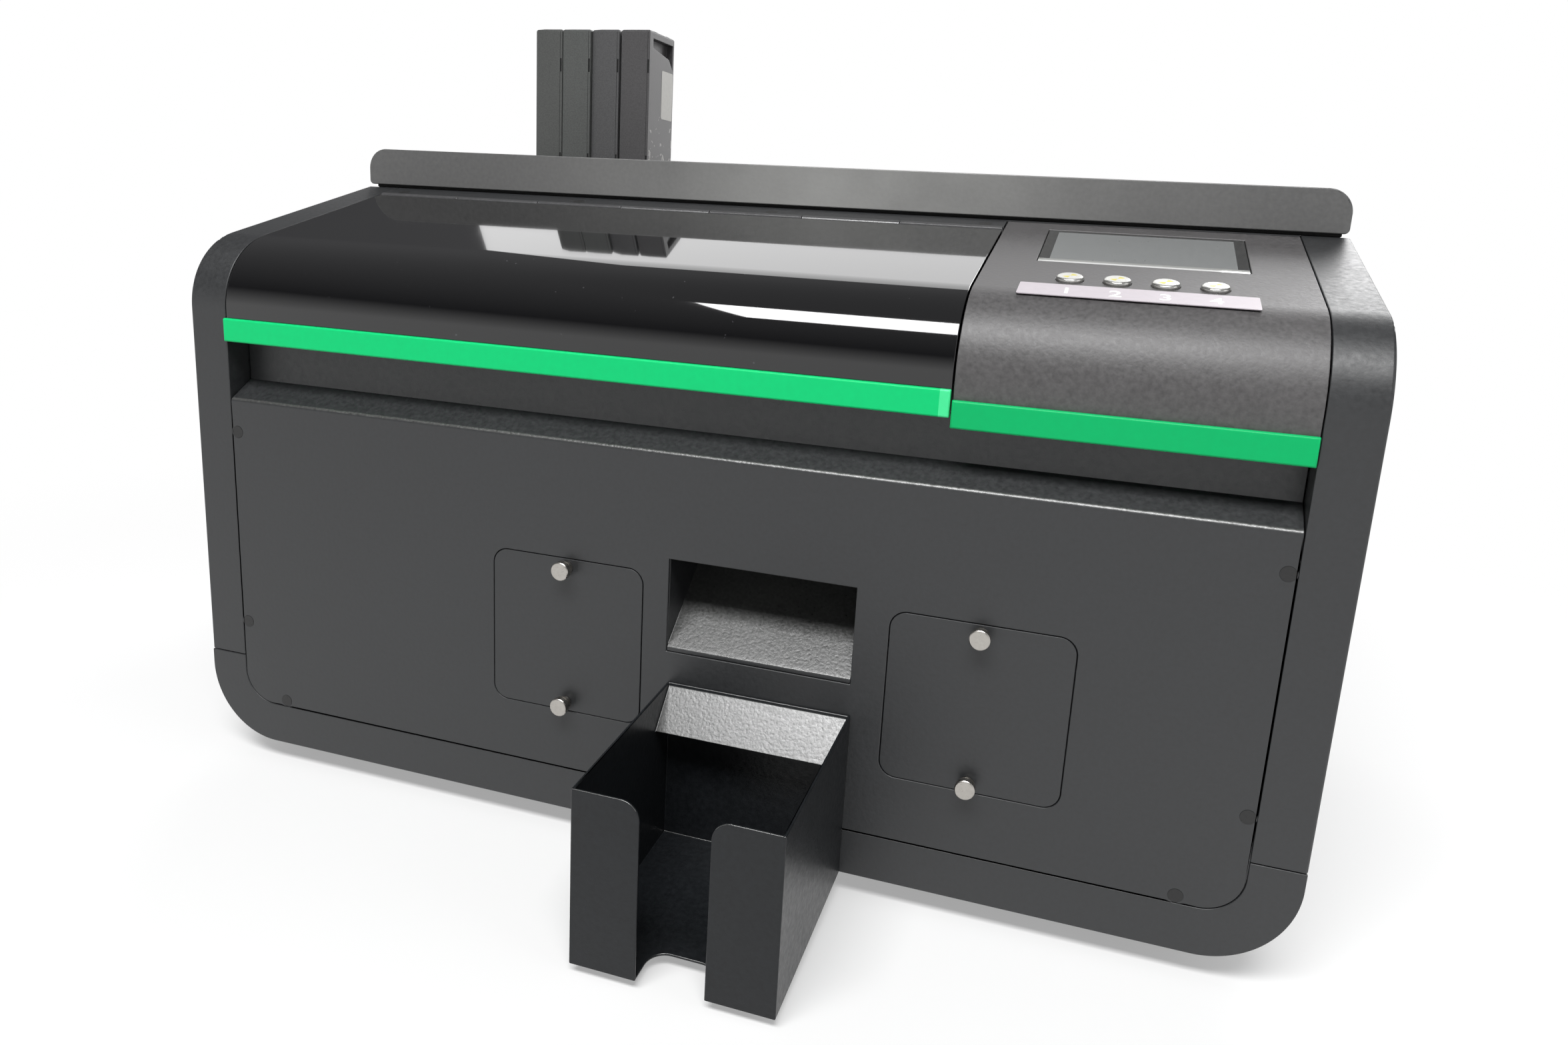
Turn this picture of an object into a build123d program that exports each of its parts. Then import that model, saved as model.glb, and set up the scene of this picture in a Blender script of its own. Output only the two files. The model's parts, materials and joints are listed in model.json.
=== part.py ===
from build123d import *
from math import cos, radians, sin, sqrt, tan
import os

# Desktop card printer, millimetres. +X to the viewer's right, +Y to the back, +Z up.
# The origin is on the table, under the middle of the whole machine with its card bin.

# ---- Driving sizes: casing ----
PANEL_WIDTH = 523.0        # front panel, between the two cheeks
PANEL_HEIGHT = 171.0       # front panel, up to the bend of the hand recess
PANEL_CORNER = 18.0
BORDER = 22.5              # visible width of the cheeks and of the tray around the panel
BODY_DEPTH = 345.0
SHEET = 2.0                # casing steel
SEAM_HEIGHT = 26.0         # top of the base tray above the panel's bottom edge
NOSE_RISE = 248.6          # front plane and sloped top would meet here, above the panel's bottom edge
NOSE_RADIUS = 40.0
SLOPE = 14.4               # of the top, degrees
FOOT_HEIGHT = 12.0
FOOT_RADIUS = 14.0
FOOT_INSET = 55.0          # of a foot's axis from the sides, front and back
SHUT_GAP = 0.4             # between casing pieces that lie edge to edge
RUNNING = 0.05             # radial clearance of shafts and pins
REST_GAP = 0.3             # between a moving piece and what it rests against

# ---- Driving sizes: front ----
RECESS_DEPTH = 14.4
SHELF_RISE = 9.1
STRIP_HEIGHT = 12.0
STRIP_PROUD = 2.8
LID_STRIP_BASE = 201.7     # above the panel's bottom edge
CONSOLE_STRIP_BASE = 197.4
DOOR_WIDTH = 82.0
DOOR_HEIGHT = 80.6
DOOR_BASE = 31.9
DOOR_CORNER = 8.0
LEFT_DOOR_X = -61.4
RIGHT_DOOR_X = 141.1
DOOR_SCREW_SPACING = 71.0
DOOR_SEAT = 5.0            # overlap of the seat behind a door's edge
THUMB_RADIUS = 4.6
THUMB_HEAD = 4.6
THUMB_NECK = 3.2
THUMB_SHAFT = 2.0          # radius
SCREW_RADIUS = 1.5
SCREW_HEAD = 3.2           # radius of a countersunk head
SCREW_LENGTH = 6.0
SCREW_EDGE = 3.7           # panel's side edge to a screw's axis
SIDE_SCREWS_UP = (153.5, 46.7)           # above the panel's bottom edge
LOW_SCREW_IN = 27.0        # lowest screws, from the panel's side edge
LOW_SCREW_UP = 3.6
SCREW_CONE = 90            # countersink, degrees

# ---- Driving sizes: cards and their path ----
CARD_LENGTH = 85.6
CARD_WIDTH = 54.0
CARD_PATH_X = 38.3         # middle of the card path
CARD_PATH_Z = 118.0        # height of the card path above the panel's bottom edge
OUTPUT_WIDTH = 91.6
OUTPUT_BASE = 75.7
OUTPUT_HEIGHT = 44.4
CHUTE_SLOPE = 40.0
CHUTE_DEPTH = 48.0
BIN_WIDTH = 91.4
BIN_OFFSET = 1.5           # bin's middle to the right of the card path's
BIN_DEPTH = 96.5
BIN_TOP = 58.5             # above the panel's bottom edge, at the back
BIN_WALL = 81.0            # height of the bin's side walls
BIN_FALL = 4.4             # forward slope of the bin, degrees
BIN_SHEET = 1.2
BIN_FLANGE = 30.4          # each front flange, beside the finger slot
BIN_NOTCH = 18.0           # depth of the floor's finger notch
BIN_LIP_DEPTH = 16.5
BIN_LIP_DROP = 18.9

# ---- Driving sizes: lid, console, hood ----
LID_END = 143.1            # lid's right end, from the panel's right edge
LID_THICKNESS = 3.0
LID_DEPTH = 125.4
HINGE_RADIUS = 2.4
HINGE_PIN_RADIUS = 1.2
KNUCKLES = 7
HINGE_SCREWS_IN = (10.4, 130.8)          # from the lid's left end
HINGE_SCREWS_OUT = (128.6, 10.4)         # from its right end
CONSOLE_DEPTH = 142.0
SCREEN_IN = 73.2           # screen's middle, from the panel's right edge
SCREEN_WIDTH = 93.5
SCREEN_HEIGHT = 59.0
SCREEN_FRONT = 75.6        # along the slope, from the nose line
BUTTONS_IN = (102.6, 82.5, 62.4, 42.3)   # from the panel's right edge
BUTTON_UP = 48.0           # along the slope
BUTTON_RADIUS = 5.9
BUTTON_TRAVEL = 1.5
BUTTON_STAND = 1.8         # head's height above the console
HOOD_INSET = 1.0           # hood's sides, inside the body's
HOOD_FRONT = 144.7         # behind the front face
HOOD_LIFT = 1.75           # gap under the hood's front edge
HOOD_HEIGHT = 21.5
HOOD_CORNER = 12.0
HOOD_LOW_CORNER = 2.5
HOOD_SHEET = 2.0

# ---- Driving sizes: ink, hopper, back ----
CARTRIDGE_PLACES = (0.0, 22.3, 44.6, 68.0)   # left sides, from the first one's
CARTRIDGE_WIDTH = 22.0
CARTRIDGE_DEPTH = 42.0
CARTRIDGE_HEIGHT = 112.0
CARTRIDGE_STAND = 93.5     # above the hood
CARTRIDGE_FRONT = 275.0    # behind the front face
CARTRIDGE_INSET = 42.4     # first one's left side, from the body's left side
DOCK_WALL = 2.0
HOPPER_FRONT = 205.0       # behind the front face
HOPPER_CLEARANCE = 0.8
HOPPER_WALL = 2.0
FLAP_THICKNESS = 2.0
FLAP_OVER = 3.0            # flap, beyond the magazine's sides
FLAP_NOSE = 4.0            # and beyond its front
FLAP_BACK = 6.0            # hinge axis, behind the magazine
FLAP_RISE = 2.6            # and over the hood
FLAP_BARREL = 2.2
FLAP_PIN = 1.2
LUG = 3.0

# ---- Worked-out places ----
BODY_WIDTH = PANEL_WIDTH + 2 * BORDER
FRONT = (BIN_DEPTH - BODY_DEPTH) / 2     # Y of the front face
REAR = FRONT + BODY_DEPTH
PANEL_BASE = FOOT_HEIGHT + BORDER        # Z of the front panel's bottom edge
OUTER_CORNER = PANEL_CORNER + BORDER
HALF_PANEL = PANEL_WIDTH / 2
HALF_BODY = BODY_WIDTH / 2
LID_RIGHT = HALF_PANEL - LID_END
SCREEN_X = HALF_PANEL - SCREEN_IN
BUTTON_X = [HALF_PANEL - place for place in BUTTONS_IN]
CARTRIDGE_LEFT = CARTRIDGE_INSET - HALF_BODY


def back(distance):
    """Y of a point this far behind the front face."""
    return FRONT + distance


def up(height):
    """Z of a point this far above the panel's bottom edge."""
    return PANEL_BASE + height


def slope_z(y, inset=0.0):
    """Z of the sloped top at Y, or of a surface this far inside it."""
    return up(NOSE_RISE) + (y - FRONT) * tan(radians(SLOPE)) - inset / cos(radians(SLOPE))


def front_plane(y):
    """Plane that faces the front: sketch x is X, sketch y is Z."""
    return Plane(origin=(0, y, 0), x_dir=(1, 0, 0), z_dir=(0, -1, 0))


def side_plane(x):
    """Plane that faces the right side: sketch x is Y, sketch y is Z."""
    return Plane(origin=(x, 0, 0), x_dir=(0, 1, 0), z_dir=(1, 0, 0))


def slope_plane(x, along, inset=0.0):
    """Plane on the sloped top: sketch y runs up the slope, from a point along it."""
    y = FRONT + along * cos(radians(SLOPE))
    z = up(NOSE_RISE) + along * sin(radians(SLOPE))
    normal = Vector(0, -sin(radians(SLOPE)), cos(radians(SLOPE)))
    return Plane(origin=Vector(x, y, z) - normal * inset, x_dir=(1, 0, 0), z_dir=normal)


def block(x0, x1, y0, y1, z0, z1, mode=Mode.ADD):
    """Box between two corners, in the current part."""
    with Locations(((x0 + x1) / 2, (y0 + y1) / 2, (z0 + z1) / 2)):
        Box(x1 - x0, y1 - y0, z1 - z0, mode=mode)


def rod(x0, x1, y, z, radius, mode=Mode.ADD):
    """Cylinder along X, in the current part."""
    with Locations(Location(((x0 + x1) / 2, y, z), (0, 90, 0))):
        Cylinder(radius, abs(x1 - x0), mode=mode)


def nose_outline(inset, y_end, z_low):
    """Side profile of the front and sloped top, closed at the back and below."""
    start = (FRONT + inset, z_low)
    corner = (FRONT + inset, slope_z(FRONT + inset, inset))
    end = (y_end, slope_z(y_end, inset))
    front_and_top = FilletPolyline(start, corner, end, radius=NOSE_RADIUS - inset)
    back_and_foot = Polyline(end, (y_end, z_low), start)
    return make_face(front_and_top.edges() + back_and_foot.edges())


def save(builder, name):
    """Labels a finished piece and writes it."""
    builder.part.label = name
    export_step(builder.part, "parts/" + name + ".step")


os.makedirs("parts", exist_ok=True)


# ---- Base tray: floor, rounded low walls and the border under the front panel ----
HOOD_Y = back(HOOD_FRONT)
CHEEK_TOP = slope_z(HOOD_Y)              # level from the hood's front to the back
CHEEK_CEILING = slope_z(HOOD_Y, SHEET)
HOOD_BASE = CHEEK_TOP + HOOD_LIFT
HOOD_TOP = HOOD_BASE + HOOD_HEIGHT
CARTRIDGE_TOP = HOOD_TOP + CARTRIDGE_STAND
HOOD_WIDTH = BODY_WIDTH - 2 * HOOD_INSET

SEAM = up(SEAM_HEIGHT)
FRAME_REAR = REAR - SHEET                # the rear panel closes the back
TRAY_FLOOR = FOOT_HEIGHT + SHEET
PANEL_RAIL = 10.0                        # rail's height behind the panel's bottom screws
LAP = 10.0                               # tray tab inside each cheek
LAP_SHEET = 1.5
with BuildPart() as base_tray:
    with BuildSketch(front_plane(FRONT)) as tray_outline:
        with Locations((0, (FOOT_HEIGHT + SEAM) / 2)):
            Rectangle(BODY_WIDTH, SEAM - FOOT_HEIGHT)
        fillet(tray_outline.vertices().group_by(Axis.Y)[0], radius=OUTER_CORNER)
    extrude(amount=-(FRAME_REAR - FRONT))
    with BuildSketch(front_plane(FRONT + SHEET)) as tray_inside:
        with Locations((0, (TRAY_FLOOR + SEAM + SHEET) / 2)):
            Rectangle(BODY_WIDTH - 2 * SHEET, SEAM + SHEET - TRAY_FLOOR)
        fillet(tray_inside.vertices().group_by(Axis.Y)[0], radius=OUTER_CORNER - SHEET)
    extrude(amount=-BODY_DEPTH, mode=Mode.SUBTRACT)
    with BuildSketch(front_plane(FRONT)) as tray_opening:
        with Locations((0, (PANEL_BASE + SEAM + SHEET) / 2)):
            Rectangle(PANEL_WIDTH, SEAM + SHEET - PANEL_BASE)
        fillet(tray_opening.vertices().group_by(Axis.Y)[0], radius=PANEL_CORNER)
    extrude(amount=-SHEET, mode=Mode.SUBTRACT)
    rail_x = HALF_BODY - OUTER_CORNER - 2 * SHEET
    block(-rail_x, rail_x, FRONT + SHEET, FRONT + 2 * SHEET, TRAY_FLOOR, up(PANEL_RAIL))
    for side in (-1, 1):
        inner = side * (HALF_BODY - SHEET - LAP_SHEET)
        outer = side * (HALF_BODY - SHEET)
        block(min(inner, outer), max(inner, outer), FRONT + 3 * SHEET, FRAME_REAR, SEAM - LAP, SEAM + LAP)
    with Locations(front_plane(FRONT + SHEET)):
        with Locations([(side * (HALF_PANEL - LOW_SCREW_IN), up(LOW_SCREW_UP)) for side in (-1, 1)]):
            Hole(radius=SCREW_RADIUS + RUNNING, depth=SHEET)
save(base_tray, "base_tray")

FOOT_X = HALF_BODY - FOOT_INSET
FOOT_TAPER = 5                           # degrees
with BuildPart() as rubber_feet:
    with BuildSketch(Plane.XY):
        with Locations((0, (FRONT + REAR) / 2)):
            with GridLocations(2 * FOOT_X, BODY_DEPTH - 2 * FOOT_INSET, 2, 2):
                Circle(FOOT_RADIUS)
    extrude(amount=FOOT_HEIGHT, taper=FOOT_TAPER)
save(rubber_feet, "rubber_feet")

# ---- Cheeks: folded side covers, from the tray's seam over the nose to the hood ----
CHEEK_BASE = SEAM + SHUT_GAP
CHEEK_EDGE = 1.5
PAST = 1.0                               # cutters run this far past what they cut
RECESS_Y = back(RECESS_DEPTH)
CHEEK_FOLD = 8.0                         # side of the hand recess, below the panel's bend
cheek_outside = nose_outline(0, HOOD_Y, CHEEK_BASE)
cheek_inside = nose_outline(SHEET, HOOD_Y, CHEEK_BASE - PAST)
with BuildPart() as right_cheek:
    with BuildSketch(side_plane(HALF_PANEL)):
        add(cheek_outside)
        with Locations(((HOOD_Y + FRAME_REAR) / 2, (CHEEK_BASE + CHEEK_TOP) / 2)):
            Rectangle(FRAME_REAR - HOOD_Y, CHEEK_TOP - CHEEK_BASE)
    extrude(amount=BORDER)
    outer_rim = right_cheek.faces().sort_by(Axis.X)[-1].edges().filter_by(
        lambda edge: edge.center().Z > CHEEK_BASE + PAST and edge.center().Y < FRAME_REAR - PAST)
    fillet(outer_rim, radius=CHEEK_EDGE)
    with BuildSketch(side_plane(HALF_PANEL)):
        add(cheek_inside)
        with Locations(((HOOD_Y + REAR) / 2, (CHEEK_BASE - PAST + CHEEK_CEILING) / 2)):
            Rectangle(REAR - HOOD_Y, CHEEK_CEILING - CHEEK_BASE + PAST)
    extrude(amount=BORDER - SHEET, mode=Mode.SUBTRACT)
    block(HALF_PANEL, HALF_PANEL + SHEET, FRONT + SHEET / 2, RECESS_Y + SHEET,
          up(PANEL_HEIGHT - CHEEK_FOLD), up(LID_STRIP_BASE + STRIP_HEIGHT))
save(right_cheek, "right_cheek")

with BuildPart() as left_cheek:
    add(right_cheek.part)
    mirror(about=Plane.YZ, mode=Mode.REPLACE)
save(left_cheek, "left_cheek")

# ---- Front panel: flat plate, bent back at the top as the shelf of the hand recess ----
PANEL_HALF = HALF_PANEL - SHUT_GAP
SHELF_FALL = SHELF_RISE / RECESS_DEPTH
SHELF_DROP = SHEET * sqrt(1 + SHELF_FALL ** 2)       # shelf's thickness, measured upright
BEND = 2.6
PANEL_SCREWS = [(side * x, z) for side in (-1, 1) for x, z in (
    (HALF_PANEL - SCREW_EDGE, up(SIDE_SCREWS_UP[0])), (HALF_PANEL - SCREW_EDGE, up(SIDE_SCREWS_UP[1])),
    (HALF_PANEL - LOW_SCREW_IN, up(LOW_SCREW_UP)))]
DOOR_Z = up(DOOR_BASE + DOOR_HEIGHT / 2)
DOORS = {"left": LEFT_DOOR_X, "right": RIGHT_DOOR_X}
DOOR_SCREWS = {"top": DOOR_Z + DOOR_SCREW_SPACING / 2, "bottom": DOOR_Z - DOOR_SCREW_SPACING / 2}
BUSH_RADIUS = 4.6
BUSH_LENGTH = 5.0
TAB_HALF = 8.0
FLOOR_DROP = 2.2                         # chute floor's front edge fills this
BIN_X = CARD_PATH_X + BIN_OFFSET
HOOK_X = 28.0                            # bin hooks, each side of the bin's middle
HOOK_WIDTH = 10.0
HOOK_Z = up(34.0)
HOOK_STEM = 2.4
HOOK_DROP = 4.0
BIN_LIFT = 5.0
with BuildPart() as front_panel:
    with BuildSketch(side_plane(-PANEL_HALF)):
        with BuildLine():
            Polyline((FRONT, up(SHUT_GAP)), (FRONT, up(PANEL_HEIGHT)),
                     (RECESS_Y, up(PANEL_HEIGHT + SHELF_RISE)),
                     (RECESS_Y, up(PANEL_HEIGHT + SHELF_RISE) - SHELF_DROP),
                     (FRONT + SHEET, up(PANEL_HEIGHT) + SHEET * SHELF_FALL - SHELF_DROP),
                     (FRONT + SHEET, up(SHUT_GAP)), close=True)
        make_face()
    extrude(amount=2 * PANEL_HALF)
    bend_line = front_panel.edges().filter_by(Axis.X).sort_by_distance((0, FRONT, up(PANEL_HEIGHT)))[0]
    fillet(bend_line, radius=BEND)
    low_corners = front_panel.edges().filter_by(Axis.Y).group_by(Axis.Z)[0]
    fillet(low_corners, radius=PANEL_CORNER - SHUT_GAP)
    for door_x in DOORS.values():
        with BuildSketch(front_plane(FRONT + SHEET)):
            with Locations((door_x, DOOR_Z)):
                Rectangle(DOOR_WIDTH + 2 * DOOR_SEAT, DOOR_HEIGHT + 2 * DOOR_SEAT)
                Rectangle(DOOR_WIDTH - 2 * DOOR_SEAT, DOOR_HEIGHT - 2 * DOOR_SEAT, mode=Mode.SUBTRACT)
            with Locations([(door_x, z) for z in DOOR_SCREWS.values()]):
                Rectangle(2 * TAB_HALF, 2 * BUSH_RADIUS)
        extrude(amount=-SHEET)
        with BuildSketch(front_plane(FRONT)):
            with Locations((door_x, DOOR_Z)):
                RectangleRounded(DOOR_WIDTH, DOOR_HEIGHT, DOOR_CORNER)
        extrude(amount=-SHEET, mode=Mode.SUBTRACT)
        with BuildSketch(front_plane(FRONT + 2 * SHEET)):
            with Locations([(door_x, z) for z in DOOR_SCREWS.values()]):
                Circle(BUSH_RADIUS)
        extrude(amount=-BUSH_LENGTH)
        with BuildSketch(front_plane(FRONT)):
            with Locations([(door_x, z) for z in DOOR_SCREWS.values()]):
                Circle(THUMB_SHAFT + RUNNING)
        extrude(amount=-(2 * SHEET + BUSH_LENGTH), mode=Mode.SUBTRACT)
    with BuildSketch(front_plane(FRONT)):
        with Locations((CARD_PATH_X, up(OUTPUT_BASE + (OUTPUT_HEIGHT - FLOOR_DROP) / 2))):
            Rectangle(OUTPUT_WIDTH, OUTPUT_HEIGHT + FLOOR_DROP)
        with Locations([(BIN_X + side * HOOK_X, HOOK_Z + BIN_LIFT / 2) for side in (-1, 1)]):
            Rectangle(HOOK_WIDTH + 2 * SHUT_GAP, HOOK_STEM + BIN_LIFT + 2 * REST_GAP)
    extrude(amount=-SHEET, mode=Mode.SUBTRACT)
    with Locations(front_plane(FRONT)):
        with Locations(PANEL_SCREWS):
            CounterSinkHole(SCREW_RADIUS + RUNNING, SCREW_HEAD + RUNNING, counter_sink_angle=SCREW_CONE)
save(front_panel, "front_panel")

WALL_LAP = 12.0                          # recess wall, below the shelf and at its top return
STOP_INSET = 14.0                        # lid stops, from the lid's ends
STOP_HALF = 5.0
STOP_HEIGHT = 7.0
with BuildPart() as recess_wall:
    wall_foot = up(PANEL_HEIGHT + SHELF_RISE) - SHELF_DROP
    wall_top = up(LID_STRIP_BASE + STRIP_HEIGHT)
    block(-PANEL_HALF, PANEL_HALF, RECESS_Y, RECESS_Y + SHEET, wall_foot - WALL_LAP, wall_top)
    block(-PANEL_HALF, PANEL_HALF, RECESS_Y + SHEET, RECESS_Y + WALL_LAP, wall_top - SHEET, wall_top)
    for stop_x in (-HALF_PANEL + STOP_INSET, LID_RIGHT - STOP_INSET):
        block(stop_x - STOP_HALF, stop_x + STOP_HALF, FRONT + LID_THICKNESS + REST_GAP, RECESS_Y,
              wall_top - SHEET / 2 - STOP_HEIGHT, wall_top - SHEET / 2)
save(recess_wall, "recess_wall")

# ---- Access doors, each held by two knurled thumbscrews ----
THUMB_EDGE = 0.4
THUMB_STEP = 1.4                         # neck's radius, under the head's
for side, door_x in DOORS.items():
    with BuildPart() as door:
        with BuildSketch(front_plane(FRONT)):
            with Locations((door_x, DOOR_Z)):
                RectangleRounded(DOOR_WIDTH - 2 * SHUT_GAP, DOOR_HEIGHT - 2 * SHUT_GAP,
                                 DOOR_CORNER - SHUT_GAP)
            with Locations([(door_x, z) for z in DOOR_SCREWS.values()]):
                Circle(THUMB_SHAFT + RUNNING, mode=Mode.SUBTRACT)
        extrude(amount=-(SHEET - RUNNING))
    save(door, "access_door_" + side)
    for end, screw_z in DOOR_SCREWS.items():
        with BuildPart() as thumbscrew:
            with BuildSketch(front_plane(FRONT - THUMB_NECK)):
                with Locations((door_x, screw_z)):
                    Circle(THUMB_RADIUS)
            extrude(amount=THUMB_HEAD)
            chamfer(thumbscrew.edges().filter_by(GeomType.CIRCLE), length=THUMB_EDGE)
            with BuildSketch(front_plane(FRONT - RUNNING)):
                with Locations((door_x, screw_z)):
                    Circle(THUMB_RADIUS - THUMB_STEP)
            extrude(amount=THUMB_NECK - RUNNING)
            with BuildSketch(front_plane(FRONT - RUNNING)):
                with Locations((door_x, screw_z)):
                    Circle(THUMB_SHAFT)
            extrude(amount=-(2 * SHEET + BUSH_LENGTH))
        save(thumbscrew, "thumbscrew_" + side + "_" + end)

# ---- Output chute: sheet trough that drops each card out of the front ----
CHUTE_SHEET = 1.5
CHUTE_CHEEK = 4.0                        # side walls, below the floor's front edge
CHUTE_END = back(CHUTE_DEPTH)
CHUTE_RISE = CHUTE_DEPTH * tan(radians(CHUTE_SLOPE))
with BuildPart() as output_chute:
    half = OUTPUT_WIDTH / 2
    with BuildSketch(side_plane(CARD_PATH_X - half)):
        drop = CHUTE_SHEET / cos(radians(CHUTE_SLOPE))
        with BuildLine():
            Polyline((FRONT + SHUT_GAP, up(OUTPUT_BASE)), (CHUTE_END, up(OUTPUT_BASE) + CHUTE_RISE),
                     (CHUTE_END, up(OUTPUT_BASE) + CHUTE_RISE - drop),
                     (FRONT + SHUT_GAP, up(OUTPUT_BASE) - drop), close=True)
        make_face()
    extrude(amount=OUTPUT_WIDTH)
    for side in (-1, 1):
        inner = CARD_PATH_X + side * half
        outer = inner + side * CHUTE_SHEET
        block(min(inner, outer), max(inner, outer), FRONT + SHEET, CHUTE_END,
              up(OUTPUT_BASE - CHUTE_CHEEK), up(OUTPUT_BASE + OUTPUT_HEIGHT) + CHUTE_SHEET)
    block(CARD_PATH_X - half, CARD_PATH_X + half, FRONT + SHEET, CHUTE_END,
          up(OUTPUT_BASE + OUTPUT_HEIGHT), up(OUTPUT_BASE + OUTPUT_HEIGHT) + CHUTE_SHEET)
save(output_chute, "output_chute")

# ---- Card bin: open sheet tray that hangs on the panel by two hooks ----
BIN_GAP = 0.2
BIN_BACK = FRONT - BIN_GAP
BIN_FRONT = FRONT - BIN_DEPTH
BIN_SINK = BIN_DEPTH * tan(radians(BIN_FALL))
BIN_HALF = BIN_WIDTH / 2
SLOT_HALF = BIN_HALF - BIN_FLANGE
FLANGE_CORNER = 8.5
BIN_REAR_TOP = up(BIN_TOP)
BIN_REAR_LOW = BIN_REAR_TOP - BIN_WALL
with BuildPart() as card_bin:
    with BuildSketch(side_plane(BIN_X - BIN_HALF)):
        with BuildLine():
            Polyline((BIN_BACK, BIN_REAR_TOP), (BIN_FRONT, BIN_REAR_TOP - BIN_SINK),
                     (BIN_FRONT, BIN_REAR_LOW - BIN_SINK), (BIN_BACK, BIN_REAR_LOW), close=True)
        make_face()
    extrude(amount=BIN_WIDTH)
    with BuildSketch(side_plane(BIN_X - BIN_HALF + BIN_SHEET)):
        with BuildLine():
            Polyline((BIN_BACK - BIN_SHEET, BIN_REAR_TOP + PAST), (BIN_FRONT, BIN_REAR_TOP + PAST),
                     (BIN_FRONT, BIN_REAR_LOW - BIN_SINK + BIN_SHEET),
                     (BIN_BACK - BIN_SHEET, BIN_REAR_LOW + BIN_SHEET), close=True)
        make_face()
    extrude(amount=BIN_WIDTH - 2 * BIN_SHEET, mode=Mode.SUBTRACT)
    for side in (-1, 1):
        with BuildSketch(front_plane(BIN_FRONT + BIN_SHEET)) as flange:
            with Locations((BIN_X + side * (BIN_HALF - BIN_FLANGE / 2),
                            BIN_REAR_TOP - BIN_SINK - BIN_WALL / 2)):
                Rectangle(BIN_FLANGE, BIN_WALL)
            inner_top = flange.vertices().sort_by_distance((BIN_X, BIN_REAR_TOP + BIN_WALL))[0]
            fillet(inner_top, radius=FLANGE_CORNER)
        extrude(amount=BIN_SHEET)
    with BuildSketch(Plane.XY.offset(BIN_REAR_LOW - BIN_SINK - PAST)) as notch:
        with Locations((BIN_X, BIN_FRONT + BIN_NOTCH / 2)):
            Rectangle(2 * SLOT_HALF, BIN_NOTCH)
        fillet(notch.vertices().group_by(Axis.Y)[-1], radius=FLANGE_CORNER)
    extrude(amount=BIN_SINK + 2 * BIN_SHEET + PAST, mode=Mode.SUBTRACT)
    with BuildSketch(side_plane(BIN_X - BIN_HALF + BIN_SHEET / 2)):
        with BuildLine():
            Polyline((BIN_BACK, BIN_REAR_TOP), (BIN_BACK - BIN_LIP_DEPTH, BIN_REAR_TOP - BIN_LIP_DROP),
                     (BIN_BACK - BIN_LIP_DEPTH + BIN_SHEET, BIN_REAR_TOP - BIN_LIP_DROP),
                     (BIN_BACK, BIN_REAR_TOP - 2 * BIN_SHEET), close=True)
        make_face()
    extrude(amount=BIN_WIDTH - BIN_SHEET)
    for side in (-1, 1):
        hook_x = BIN_X + side * HOOK_X
        lip_y = FRONT + SHEET + REST_GAP
        block(hook_x - HOOK_WIDTH / 2, hook_x + HOOK_WIDTH / 2, BIN_BACK - BIN_SHEET, lip_y + HOOK_STEM,
              HOOK_Z - HOOK_STEM / 2, HOOK_Z + HOOK_STEM / 2)
        block(hook_x - HOOK_WIDTH / 2, hook_x + HOOK_WIDTH / 2, lip_y, lip_y + HOOK_STEM,
              HOOK_Z - HOOK_STEM / 2 - HOOK_DROP, HOOK_Z + HOOK_STEM / 2)
save(card_bin, "card_bin")

# ---- Lid: curved glossy cover with a green pull strip, on a piano hinge ----
SIDE_GAP = 0.5                           # lid and console to the cheeks
LID_LEFT = -HALF_PANEL + SIDE_GAP
HINGE_SCREWS = ([LID_LEFT + place for place in HINGE_SCREWS_IN]
                + [LID_RIGHT - place for place in HINGE_SCREWS_OUT])
LID_Y = back(LID_DEPTH)
HINGE_GAP = 2.8                          # hinge axis to the lid's and the strip's edges
HINGE_INSET = LID_THICKNESS / 2
HINGE_Y = LID_Y + HINGE_GAP
HINGE_Z = slope_z(HINGE_Y, HINGE_INSET)
STRIP_SHEET = 2.0
STRIP_EDGE = 1.0
LEAF_LAP = 1.0                           # hinge leaves, into the plates they join
LID_FOOT = up(LID_STRIP_BASE) + STRIP_SHEET
KNUCKLE = (LID_RIGHT - LID_LEFT) / KNUCKLES
LID_KNUCKLES = range(0, KNUCKLES, 2)
STRIP_KNUCKLES = range(1, KNUCKLES, 2)


def add_knuckles(numbers, reach, thickness, bore):
    """Hinge barrels in the current part, each with a leaf that reaches along the slope."""
    drop = (thickness - LID_THICKNESS) / 2
    leaf_y = HINGE_Y + reach / 2 * cos(radians(SLOPE)) + drop * sin(radians(SLOPE))
    leaf_z = HINGE_Z + reach / 2 * sin(radians(SLOPE)) - drop * cos(radians(SLOPE))
    length = KNUCKLE - 4 * RUNNING
    for number in numbers:
        middle = LID_LEFT + (number + 0.5) * KNUCKLE
        rod(middle - length / 2, middle + length / 2, HINGE_Y, HINGE_Z, HINGE_RADIUS)
        with Locations(Location((middle, leaf_y, leaf_z), (SLOPE, 0, 0))):
            Box(length, abs(reach), thickness)
    if bore:
        rod(LID_LEFT, LID_RIGHT, HINGE_Y, HINGE_Z, HINGE_PIN_RADIUS + RUNNING, mode=Mode.SUBTRACT)


lid_outside = nose_outline(0, LID_Y, LID_FOOT)
lid_inside = nose_outline(LID_THICKNESS, LID_Y, LID_FOOT)
with BuildPart() as lid:
    with BuildSketch(side_plane(LID_LEFT)):
        add(lid_outside)
        add(lid_inside, mode=Mode.SUBTRACT)
    extrude(amount=LID_RIGHT - LID_LEFT)
    add_knuckles(LID_KNUCKLES, -HINGE_GAP - LEAF_LAP, LID_THICKNESS, bore=True)
save(lid, "lid")


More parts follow.
